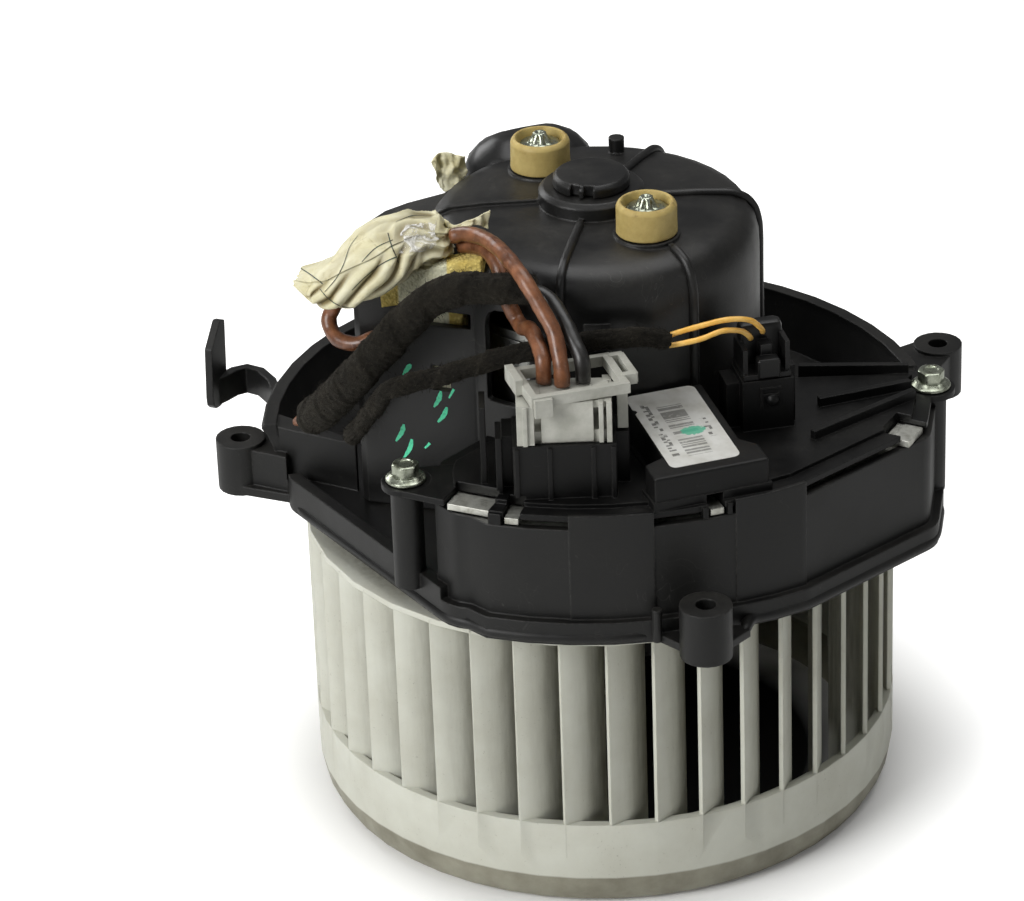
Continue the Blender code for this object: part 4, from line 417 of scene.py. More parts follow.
def wheelPolypropylene():
    # moulded natural polypropylene: milky, satin, streaked with fine dust along the air's way; painted shade darkens
    # the blades towards the inside of the cage and turns the inside near black
    made = newMaterial("wheelPolypropylene")
    place = addNode(made, "ShaderNodeTexCoord")["Object"]
    split = addNode(made, "ShaderNodeSeparateXYZ", {}, {0: place})
    flat = addNode(made, "ShaderNodeCombineXYZ", {}, {"X": split["X"], "Y": split["Y"]})[0]
    radius = addNode(made, "ShaderNodeVectorMath", {"operation": "LENGTH"}, {0: flat})["Value"]
    cloud = addNode(made, "ShaderNodeTexNoise", {}, {
        "Vector": place, "Scale": perMm(16.0), "Detail": 6.0, "Roughness": 0.6})["Fac"]
    long = addNode(made, "ShaderNodeMapping", {}, {"Vector": place, "Scale": (1.0, 1.0, 0.12)})[0]
    streak = addNode(made, "ShaderNodeTexNoise", {}, {
        "Vector": long, "Scale": perMm(1.6), "Detail": 5.0, "Roughness": 0.65})["Fac"]
    speck = addNode(made, "ShaderNodeTexNoise", {}, {
        "Vector": place, "Scale": perMm(0.9), "Detail": 3.0, "Roughness": 0.8})["Fac"]
    grain = addNode(made, "ShaderNodeTexNoise", {}, {"Vector": place, "Scale": perMm(0.5), "Detail": 2.0})["Fac"]
    soft = addNode(made, "ShaderNodeBevel", {"samples": 4}, {"Radius": 0.0005})["Normal"]
    colour = addNode(made, "ShaderNodeMix", colourMix, {
        0: addNode(made, "ShaderNodeMapRange", {}, {"Value": cloud, "From Min": 0.35, "From Max": 0.65})[0],
        6: linear(wheelFinish["clean"]), 7: linear(wheelFinish["cloudy"])})[2]
    # grime and painted shade darken the blades towards the inside of the cage, in streaks; grime also lies in specks on
    # the band
    deep = addNode(made, "ShaderNodeMapRange", {}, {
        "Value": radius, "From Min": wheelFinish["bladeRadius"] - 0.0008,
        "From Max": wheelFinish["cageRadius"] + 0.002, "To Max": 0.75})[0]
    above = addNode(made, "ShaderNodeMapRange", {}, {
        "Value": split["Z"], "From Min": wheelFinish["bandTop"] - 0.0015,
        "From Max": wheelFinish["bandTop"] + 0.004})[0]
    deep = addNode(made, "ShaderNodeMath", clampedProduct, {0: deep, 1: above})[0]
    deep = addNode(made, "ShaderNodeMath", clampedProduct, {
        0: deep,
        1: addNode(made, "ShaderNodeMapRange", {}, {
            "Value": streak, "From Min": 0.3, "From Max": 0.62, "To Min": 0.45, "To Max": 1.0})[0]})[0]
    colour = addNode(made, "ShaderNodeMix", colourMix, {
        0: deep, 6: colour, 7: linear(wheelFinish["grime"])})[2]
    fleck = addNode(made, "ShaderNodeMath", clampedProduct, {
        0: addNode(made, "ShaderNodeMapRange", {}, {"Value": speck, "From Min": 0.64, "From Max": 0.74})[0],
        1: addNode(made, "ShaderNodeMapRange", {}, {
            "Value": cloud, "From Min": 0.42, "From Max": 0.62, "To Min": 0.1, "To Max": 0.7})[0]})[0]
    colour = addNode(made, "ShaderNodeMix", colourMix, {
        0: fleck, 6: colour, 7: linear(wheelFinish["grime"])})[2]
    lip = addNode(made, "ShaderNodeMapRange", {}, {
        "Value": split["Z"], "From Min": wheelFinish["lipHeight"] + 0.0002,
        "From Max": wheelFinish["lipHeight"] - 0.0004})[0]
    lipTone = addNode(made, "ShaderNodeMix", colourMix, {
        0: addNode(made, "ShaderNodeMapRange", {}, {"Value": cloud, "From Min": 0.38, "From Max": 0.66})[0],
        6: linear(wheelFinish["lip"]), 7: linear(wheelFinish["grime"])})[2]
    colour = addNode(made, "ShaderNodeMix", colourMix, {
        0: addNode(made, "ShaderNodeMath", clampedProduct, {0: lip, 1: 0.85})[0],
        6: colour, 7: lipTone})[2]
    # painted shade: inside the cage radius the wheel turns near black, a little paler in streaks
    inner = addNode(made, "ShaderNodeMapRange", {}, {
        "Value": radius, "From Min": wheelFinish["cageRadius"] + 0.0006,
        "From Max": wheelFinish["cageRadius"] - 0.0006})[0]
    insideShadeTone = addNode(made, "ShaderNodeMix", colourMix, {
        0: addNode(made, "ShaderNodeMapRange", {}, {"Value": streak, "From Min": 0.35, "From Max": 0.7})[0],
        6: linear(wheelFinish["film"]), 7: linear(wheelFinish["insideShadePale"])})[2]
    colour = addNode(made, "ShaderNodeMix", colourMix, {0: inner, 6: colour, 7: insideShadeTone})[2]
    rough = addNode(made, "ShaderNodeMapRange", {}, {
        "Value": cloud, "From Min": 0.3, "From Max": 0.7, "To Min": 0.38, "To Max": 0.52})[0]
    rough = addNode(made, "ShaderNodeMath", {"operation": "MULTIPLY_ADD"}, {0: inner, 1: 0.4, 2: rough})[0]
    bump = addNode(made, "ShaderNodeBump", {}, {
        "Strength": 0.25, "Distance": 0.00006, "Height": grain, "Normal": soft})["Normal"]
    shader = addNode(made, "ShaderNodeBsdfPrincipled", {}, {
        "Base Color": colour, "Roughness": rough, "Normal": bump, "IOR": 1.49,
        "Subsurface Weight": 0.08, "Subsurface Radius": (0.0022, 0.0020, 0.0015), "Subsurface Scale": 1.0})
    return closeMaterial(made, shader)


def mouldedRubber(finish):
    # cream damping rubber: matt, yellowed, with brown handling marks round its edges
    made = newMaterial(finish["name"])
    place = addNode(made, "ShaderNodeTexCoord")["Object"]
    cloud = addNode(made, "ShaderNodeTexNoise", {}, {
        "Vector": place, "Scale": perMm(4.5), "Detail": 6.0, "Roughness": 0.65})["Fac"]
    grain = addNode(made, "ShaderNodeTexNoise", {}, {"Vector": place, "Scale": perMm(0.35), "Detail": 3.0})["Fac"]
    soft = addNode(made, "ShaderNodeBevel", {"samples": 4}, {"Radius": 0.0007})["Normal"]
    normal = addNode(made, "ShaderNodeNewGeometry")["Normal"]
    bend = addNode(made, "ShaderNodeVectorMath", {"operation": "DOT_PRODUCT"}, {0: soft, 1: normal})["Value"]
    colour = addNode(made, "ShaderNodeMix", colourMix, {
        0: addNode(made, "ShaderNodeMapRange", {}, {"Value": cloud, "From Min": 0.35, "From Max": 0.65})[0],
        6: linear(finish["light"]), 7: linear(finish["dark"])})[2]
    worn = addNode(made, "ShaderNodeMath", clampedProduct, {
        0: addNode(made, "ShaderNodeMapRange", {}, {"Value": bend, "From Min": 0.99, "From Max": 0.85})[0],
        1: addNode(made, "ShaderNodeMapRange", {}, {
            "Value": cloud, "From Min": 0.42, "From Max": 0.56, "To Min": 0.15, "To Max": 0.8})[0]})[0]
    colour = addNode(made, "ShaderNodeMix", colourMix, {
        0: worn, 6: colour, 7: linear(finish["grime"])})[2]
    spots = addNode(made, "ShaderNodeMapRange", {}, {
        "Value": cloud, "From Min": 0.6, "From Max": 0.7, "To Max": 0.55})[0]
    colour = addNode(made, "ShaderNodeMix", colourMix, {
        0: spots, 6: colour, 7: linear(finish["grime"])})[2]
    bump = addNode(made, "ShaderNodeBump", {}, {
        "Strength": 0.4, "Distance": 0.00008, "Height": grain, "Normal": soft})["Normal"]
    shader = addNode(made, "ShaderNodeBsdfPrincipled", {}, {
        "Base Color": colour,
        "Roughness": addNode(made, "ShaderNodeMapRange", {}, {
            "Value": cloud, "From Min": 0.3, "From Max": 0.7, "To Min": 0.5, "To Max": 0.68})[0], "Normal": bump,
        "IOR": 1.52, "Subsurface Weight": 0.12, "Subsurface Radius": (0.0015, 0.0011, 0.0006),
        "Subsurface Scale": 1.0})
    return closeMaterial(made, shader)


# cream damping rubber: dull yellow like old soap, brown where it has been handled
creamRubber = mouldedRubber({"name": "creamRubber", "light": "#C2AD6C", "dark": "#AE9757", "grime": "#6E5730"})


def workedMetal(finish):
    # bare or plated metal: fine marks from how it was made, dull patches, darker stains
    made = newMaterial(finish["name"])
    place = addNode(made, "ShaderNodeTexCoord")["Object"]
    drawn = addNode(made, "ShaderNodeMapping", {}, {"Vector": place, "Scale": finish["drawn"]})[0]
    marks = addNode(made, "ShaderNodeTexNoise", {}, {
        "Vector": drawn, "Scale": perMm(finish["marksMm"]), "Detail": 4.0, "Roughness": 0.6})["Fac"]
    cloud = addNode(made, "ShaderNodeTexNoise", {}, {
        "Vector": place, "Scale": perMm(finish["cloudMm"]), "Detail": 5.0, "Roughness": 0.6})["Fac"]
    soft = addNode(made, "ShaderNodeBevel", {"samples": 4}, {"Radius": 0.0003})["Normal"]
    colour = addNode(made, "ShaderNodeMix", colourMix, {
        0: addNode(made, "ShaderNodeMapRange", {}, {"Value": cloud, "From Min": 0.35, "From Max": 0.65})[0],
        6: linear(finish["bright"]), 7: linear(finish["dull"])})[2]
    stain = addNode(made, "ShaderNodeMapRange", {}, {
        "Value": cloud, "From Min": 0.56, "From Max": 0.68, "To Max": finish["stainShare"]})[0]
    colour = addNode(made, "ShaderNodeMix", colourMix, {
        0: stain, 6: colour, 7: linear(finish["stain"])})[2]
    rough = addNode(made, "ShaderNodeMapRange", {}, {
        "Value": marks, "From Min": 0.3, "From Max": 0.7, "To Min": finish["rough"] - 0.08,
        "To Max": finish["rough"] + 0.12})[0]
    bump = addNode(made, "ShaderNodeBump", {}, {
        "Strength": finish["bump"], "Distance": 0.00005, "Height": marks, "Normal": soft})["Normal"]
    shader = addNode(made, "ShaderNodeBsdfPrincipled", {}, {
        "Base Color": colour, "Metallic": 1.0, "Roughness": rough, "Normal": bump})
    return closeMaterial(made, shader)


# zinc plated screws: greenish passivated silver, a little blotchy
zincPlatedSteel = workedMetal({
    "name": "zincPlatedSteel", "drawn": (1.0, 1.0, 1.0), "marksMm": 0.5, "cloudMm": 2.2, "bright": "#B4B9A9",
    "dull": "#8F9584", "stain": "#5E5B48", "stainShare": 0.6, "rough": 0.30, "bump": 0.35})
# drawn steel can: vertical drawing marks under thin plating
drawnSteel = workedMetal({
    "name": "drawnSteel", "drawn": (1.0, 1.0, 0.08), "marksMm": 0.5, "cloudMm": 9.0, "bright": "#B5B6B4",
    "dull": "#96968F", "stain": "#6A5F4C", "stainShare": 0.4, "rough": 0.34, "bump": 0.3})
# die cast aluminium: matt silver, slightly granular
castAluminium = workedMetal({
    "name": "castAluminium", "drawn": (1.0, 1.0, 1.0), "marksMm": 0.7, "cloudMm": 3.0, "bright": "#D6D6CE",
    "dull": "#B7B7AE", "stain": "#8B877A", "stainShare": 0.5, "rough": 0.46, "bump": 0.7})
# rolled copper segments: bright with darker arcing marks
rolledCopper = workedMetal({
    "name": "rolledCopper", "drawn": (1.0, 1.0, 0.1), "marksMm": 0.4, "cloudMm": 4.0, "bright": "#D08A5E",
    "dull": "#B06D45", "stain": "#4E342A", "stainShare": 0.6, "rough": 0.28, "bump": 0.3})
# sintered bronze bushes: dull gold, porous, holding oil
sinteredBronze = workedMetal({
    "name": "sinteredBronze", "drawn": (1.0, 1.0, 1.0), "marksMm": 0.3, "cloudMm": 2.5, "bright": "#A9854E",
    "dull": "#8A6A3C", "stain": "#54401F", "stainShare": 0.5, "rough": 0.42, "bump": 0.6})
print("rubber and metals made")


def wireSleeve(finish):
    # extruded wire insulation: smooth, slightly waxy, scuffed and dusty
    made = newMaterial(finish["name"])
    place = addNode(made, "ShaderNodeTexCoord")["Object"]
    cloud = addNode(made, "ShaderNodeTexNoise", {}, {
        "Vector": place, "Scale": perMm(5.0), "Detail": 6.0, "Roughness": 0.65})["Fac"]
    grain = addNode(made, "ShaderNodeTexNoise", {}, {"Vector": place, "Scale": perMm(0.5), "Detail": 3.0})["Fac"]
    colour = addNode(made, "ShaderNodeMix", colourMix, {
        0: addNode(made, "ShaderNodeMapRange", {}, {"Value": cloud, "From Min": 0.35, "From Max": 0.65})[0],
        6: linear(finish["dark"]), 7: linear(finish["light"])})[2]
    colour = addNode(made, "ShaderNodeMix", colourMix, {
        0: addNode(made, "ShaderNodeMapRange", {}, {
            "Value": grain, "From Min": 0.6, "From Max": 0.74, "To Max": finish["dust"]})[0], 6: colour,
        7: linear(finish["dustColour"])})[2]
    bump = addNode(made, "ShaderNodeBump", {}, {
        "Strength": 0.3, "Distance": 0.00008, "Height": grain})["Normal"]
    shader = addNode(made, "ShaderNodeBsdfPrincipled", {}, {
        "Base Color": colour,
        "Roughness": addNode(made, "ShaderNodeMapRange", {}, {
            "Value": cloud, "From Min": 0.3, "From Max": 0.7, "To Min": finish["rough"] - 0.08,
            "To Max": finish["rough"] + 0.1})[0], "Normal": bump, "IOR": 1.53, "Coat Weight": 0.15,
        "Coat Roughness": 0.3})
    return closeMaterial(made, shader)


# brown silicone sleeve: warm and waxy, chalky where it has rubbed
brownSilicone = wireSleeve({"name": "brownSilicone", "dark": "#55321F", "light": "#875637", "dust": 0.35,
                            "dustColour": "#B98F76", "rough": 0.36})
# black silicone sleeve: soft black with grey scuffs
blackSilicone = wireSleeve({"name": "blackSilicone", "dark": "#141312", "light": "#201E1C", "dust": 0.25,
                            "dustColour": "#5E5850", "rough": 0.38})
# yellow vinyl sleeve: bright, smooth, hardly soiled
yellowVinyl = wireSleeve({"name": "yellowVinyl", "dark": "#EDB244", "light": "#FFCF72", "dust": 0.2,
                          "dustColour": "#F0D9A0", "rough": 0.34})
# oxidised copper strands: dull orange-brown, no gleam left on them
copperStrand = wireSleeve({"name": "copperStrand", "dark": "#8E5A44", "light": "#C58C70", "dust": 0.3,
                           "dustColour": "#E5B49A", "rough": 0.32})


fleeceFinish = {"dark": "#070706", "light": "#211F1B", "dusty": "#28251F", "lint": "#6B6455", "sheen": "#8A8478"}


def feltedFleece():
    # polyester fleece tape: matt felt, tangled fibres, lint caught in it; the real fibres are 0.02 mm
    # thick, so the tangle is drawn as coarse as it shows
    made = newMaterial("feltedFleece")
    place = addNode(made, "ShaderNodeTexCoord")["Object"]
    tangle = addNode(made, "ShaderNodeTexNoise", {}, {
        "Vector": place, "Scale": perMm(0.55), "Detail": 6.0, "Roughness": 0.75, "Distortion": 0.8})["Fac"]
    cloud = addNode(made, "ShaderNodeTexNoise", {}, {"Vector": place, "Scale": perMm(7.0), "Detail": 4.0})["Fac"]
    lint = addNode(made, "ShaderNodeTexNoise", {}, {
        "Vector": place, "Scale": perMm(2.6), "Detail": 2.0, "Distortion": 2.5})["Fac"]
    colour = addNode(made, "ShaderNodeMix", colourMix, {
        0: addNode(made, "ShaderNodeMapRange", {}, {"Value": tangle, "From Min": 0.35, "From Max": 0.68})[0],
        6: linear(fleeceFinish["dark"]), 7: linear(fleeceFinish["light"])})[2]
    colour = addNode(made, "ShaderNodeMix", colourMix, {
        0: addNode(made, "ShaderNodeMapRange", {}, {
            "Value": cloud, "From Min": 0.45, "From Max": 0.7, "To Max": 0.5})[0], 6: colour,
        7: linear(fleeceFinish["dusty"])})[2]
    strand = addNode(made, "ShaderNodeMath", {"operation": "ABSOLUTE", "use_clamp": True}, {
        0: addNode(made, "ShaderNodeMath", {"operation": "SUBTRACT"}, {0: lint, 1: 0.52})[0], 1: 0.0})[0]
    colour = addNode(made, "ShaderNodeMix", colourMix, {
        0: addNode(made, "ShaderNodeMapRange", {}, {
            "Value": strand, "From Min": 0.006, "From Max": 0.0, "To Max": 0.35})[0], 6: colour,
        7: linear(fleeceFinish["lint"])})[2]
    bump = addNode(made, "ShaderNodeBump", {}, {
        "Strength": 0.9, "Distance": 0.0004, "Height": tangle})["Normal"]
    shader = addNode(made, "ShaderNodeBsdfPrincipled", {}, {
        "Base Color": colour, "Roughness": 0.95, "Normal": bump, "IOR": 1.45, "Specular IOR Level": 0.15,
        "Sheen Weight": 0.25, "Sheen Roughness": 0.5, "Sheen Tint": linear(fleeceFinish["sheen"])})
    return closeMaterial(made, shader)


def paperTape(finish):
    # cream paper masking tape: thin, creped, with soil and painted shade along its creases and painted shade in the
    # deep valleys of the wrap
    made = newMaterial(finish["name"])
    place = addNode(made, "ShaderNodeTexCoord")["Object"]
    crepe = addNode(made, "ShaderNodeTexNoise", {}, {
        "Vector": place, "Scale": perMm(0.7), "Detail": 5.0, "Roughness": 0.7})["Fac"]
    cloud = addNode(made, "ShaderNodeTexNoise", {}, {
        "Vector": place, "Scale": perMm(8.0), "Detail": 6.0, "Roughness": 0.7, "Distortion": 0.6})["Fac"]
    crease = addNode(made, "ShaderNodeTexVoronoi", {"feature": "DISTANCE_TO_EDGE"}, {
        "Vector": place, "Scale": perMm(9.0), "Randomness": 1.0})["Distance"]
    colour = addNode(made, "ShaderNodeMix", colourMix, {
        0: addNode(made, "ShaderNodeMapRange", {}, {"Value": cloud, "From Min": 0.36, "From Max": 0.66})[0],
        6: linear(finish["clean"]), 7: linear(finish["aged"])})[2]
    # soil and painted shade darken the tape along its creases
    creaseSoilAndShade = addNode(made, "ShaderNodeMath", clampedProduct, {
        0: addNode(made, "ShaderNodeMapRange", {}, {"Value": crease, "From Min": 0.03, "From Max": 0.0})[0],
        1: addNode(made, "ShaderNodeMapRange", {}, {"Value": cloud, "From Min": 0.5, "From Max": 0.64})[0]})[0]
    colour = addNode(made, "ShaderNodeMix", colourMix, {
        0: addNode(made, "ShaderNodeMath", clampedProduct, {
            0: creaseSoilAndShade, 1: finish["creaseSoilAndShade"]})[0], 6: colour, 7: linear(finish["soilAndShade"])})[2]
    colour = addNode(made, "ShaderNodeMix", colourMix, {
        0: addNode(made, "ShaderNodeMapRange", {}, {
            "Value": cloud, "From Min": 0.6, "From Max": 0.74, "To Max": finish["soiled"]})[0], 6: colour,
        7: linear(finish["soilAndShade"])})[2]
    # painted shade: the wrap's deep valleys, stored on its corners, turn dark
    sunk = addNode(made, "ShaderNodeAttribute", {"attribute_name": "sunk"})["Fac"]
    colour = addNode(made, "ShaderNodeMix", colourMix, {
        0: addNode(made, "ShaderNodeMapRange", {}, {
            "Value": sunk, "From Min": 0.5, "From Max": 0.95, "To Max": 0.9})[0], 6: colour,
        7: linear(finish["soilAndShade"])})[2]
    bump = addNode(made, "ShaderNodeBump", {}, {
        "Strength": 0.5, "Distance": 0.00015, "Height": crepe})["Normal"]
    bump = addNode(made, "ShaderNodeBump", {}, {
        "Strength": 0.5, "Distance": 0.0003, "Height": crease, "Normal": bump})["Normal"]
    shader = addNode(made, "ShaderNodeBsdfPrincipled", {}, {
        "Base Color": colour,
        "Roughness": addNode(made, "ShaderNodeMapRange", {}, {
            "Value": crepe, "From Min": 0.3, "From Max": 0.7, "To Min": 0.42, "To Max": 0.62})[0], "Normal": bump,
        "IOR": 1.5, "Subsurface Weight": 0.1, "Subsurface Radius": (0.001, 0.0009, 0.0006), "Subsurface Scale": 1.0})
    return closeMaterial(made, shader)


foamFinish = {
    "light": "#E8D688", "dark": "#D4BC68", "cells": "#A08A46", "pale": "#D6D8C2",
    "paleFrom": (-0.0533, -0.0528), "paleTo": (-0.0395, -0.04),   # the pale stretch, along the duct's front
}


def openFoam():
    # polyurethane foam: yellowed open cells, one pale stretch where paper has stuck to it
    made = newMaterial("openFoam")
    place = addNode(made, "ShaderNodeTexCoord")["Object"]
    cells = addNode(made, "ShaderNodeTexVoronoi", {"feature": "F1"}, {
        "Vector": place, "Scale": perMm(0.8), "Randomness": 1.0})["Distance"]
    cloud = addNode(made, "ShaderNodeTexNoise", {}, {
        "Vector": place, "Scale": perMm(6.0), "Detail": 5.0, "Roughness": 0.6})["Fac"]
    across = addNode(made, "ShaderNodeSeparateXYZ", {}, {0: place})["X"]
    colour = addNode(made, "ShaderNodeMix", colourMix, {
        0: addNode(made, "ShaderNodeMapRange", {}, {"Value": cloud, "From Min": 0.35, "From Max": 0.65})[0],
        6: linear(foamFinish["light"]), 7: linear(foamFinish["dark"])})[2]
    colour = addNode(made, "ShaderNodeMix", colourMix, {
        0: addNode(made, "ShaderNodeMapRange", {}, {
            "Value": cells, "From Min": 0.3, "From Max": 0.65, "To Max": 0.4})[0], 6: colour,
        7: linear(foamFinish["cells"])})[2]
    pale = addNode(made, "ShaderNodeMath", clampedProduct, {
        0: addNode(made, "ShaderNodeMapRange", {}, {
            "Value": across, "From Min": foamFinish["paleFrom"][0], "From Max": foamFinish["paleFrom"][1]})[0],
        1: addNode(made, "ShaderNodeMapRange", {}, {
            "Value": across, "From Min": foamFinish["paleTo"][0], "From Max": foamFinish["paleTo"][1]})[0]})[0]
    colour = addNode(made, "ShaderNodeMix", colourMix, {
        0: addNode(made, "ShaderNodeMath", clampedProduct, {0: pale, 1: 0.85})[0],
        6: colour, 7: linear(foamFinish["pale"])})[2]
    bump = addNode(made, "ShaderNodeBump", {"invert": True}, {
        "Strength": 0.8, "Distance": 0.0004, "Height": cells})["Normal"]
    shader = addNode(made, "ShaderNodeBsdfPrincipled", {}, {
        "Base Color": colour, "Roughness": 0.9, "Normal": bump, "IOR": 1.45, "Specular IOR Level": 0.25})
    return closeMaterial(made, shader)


def clearFilm():
    # crumpled clear adhesive film: glassy wrinkles over the tape below, with pale, nearly opaque ridges as painted
    # highlights
    made = newMaterial("clearFilm")
    place = addNode(made, "ShaderNodeTexCoord")["Object"]
    wrinkle = addNode(made, "ShaderNodeTexNoise", {}, {
        "Vector": place, "Scale": perMm(3.2), "Detail": 2.0, "Distortion": 1.2})["Fac"]
    bump = addNode(made, "ShaderNodeBump", {}, {
        "Strength": 0.9, "Distance": 0.0012, "Height": wrinkle})["Normal"]
    shader = addNode(made, "ShaderNodeBsdfPrincipled", {}, {
        "Base Color": (0.86, 0.85, 0.8, 1.0),
        "Roughness": addNode(made, "ShaderNodeMapRange", {}, {
            "Value": wrinkle, "From Min": 0.3, "From Max": 0.7, "To Min": 0.06, "To Max": 0.16})[0], "Normal": bump,
        "IOR": 1.5,
        # painted highlights: the film's ridges are drawn pale and nearly opaque, its grooves clear
        "Alpha": addNode(made, "ShaderNodeMapRange", {}, {
            "Value": wrinkle, "From Min": 0.46, "From Max": 0.6, "To Min": 0.12, "To Max": 0.85})[0]})
    return closeMaterial(made, shader)


def markerPaint(name, colour, dry="#2A9A72"):
    # paint pen: thin, opaque, drier and patchy at its ends
    made = newMaterial(name)
    place = addNode(made, "ShaderNodeTexCoord")["Object"]
    patch = addNode(made, "ShaderNodeTexNoise", {}, {
        "Vector": place, "Scale": perMm(0.9), "Detail": 5.0, "Roughness": 0.7})["Fac"]
    tone = addNode(made, "ShaderNodeMix", colourMix, {
        0: addNode(made, "ShaderNodeMapRange", {}, {
            "Value": patch, "From Min": 0.5, "From Max": 0.75, "To Max": 0.6})[0], 6: linear(colour),
        7: linear(dry)})[2]
    bump = addNode(made, "ShaderNodeBump", {}, {"Strength": 0.4, "Distance": 0.0001, "Height": patch})["Normal"]
    shader = addNode(made, "ShaderNodeBsdfPrincipled", {}, {
        "Base Color": tone,
        "Roughness": addNode(made, "ShaderNodeMapRange", {}, {
            "Value": patch, "From Min": 0.3, "From Max": 0.7, "To Min": 0.4, "To Max": 0.6})[0], "Normal": bump,
        "IOR": 1.5})
    return closeMaterial(made, shader)


wheelPlastic = wheelPolypropylene()
fleece = feltedFleece()
creamTape = paperTape({"name": "creamTape", "clean": "#DEDABD", "aged": "#CFC79D", "soilAndShade": "#77683F",
                       "creaseSoilAndShade": 0.35, "soiled": 0.35})
foam = openFoam()
film = clearFilm()
mintPaint = markerPaint("mintPaint", "#6BFFC8")
tapePrint = markerPaint("tapePrint", "#35322C")
print("soft finishes made")

label = {
    "wideMm": 19.5, "longMm": 36.0, "cornerMm": 1.9, "thickMm": 0.12,
    "cornerSteps": 7,
    "nickMm": [(0.0, 29.4), (0.75, 28.7), (0.85, 27.9), (0.0, 27.2)],   # a small nick in the left edge
    "corner": (0.0170, -0.0814), "turn": math.radians(17.5),
    "slope": 0.097, "frontTop": 0.1353,   # the block's top rises towards the back
    # what is printed, in mm from the label's front left corner
    "barPitch": 0.42, "barsAcross": (6.2, 13.2), "barsAlong": (4.0, 28.5),
    "blockPitch": (0.62, 1.15), "blocksAlong": (5.0, 31.0),
    "leftRow": (2.3, 4.4), "rightRow": (15.0, 17.0), "rightRowAlong": (11.0, 20.0),
    "dabCentre": (11.6, 15.2), "dabSpread": (0.30, 0.50, 1.0),
    "white": "#D6D6D1", "handled": "#BFBEB6", "ink": "#43423E", "dab": "#49B794",
}


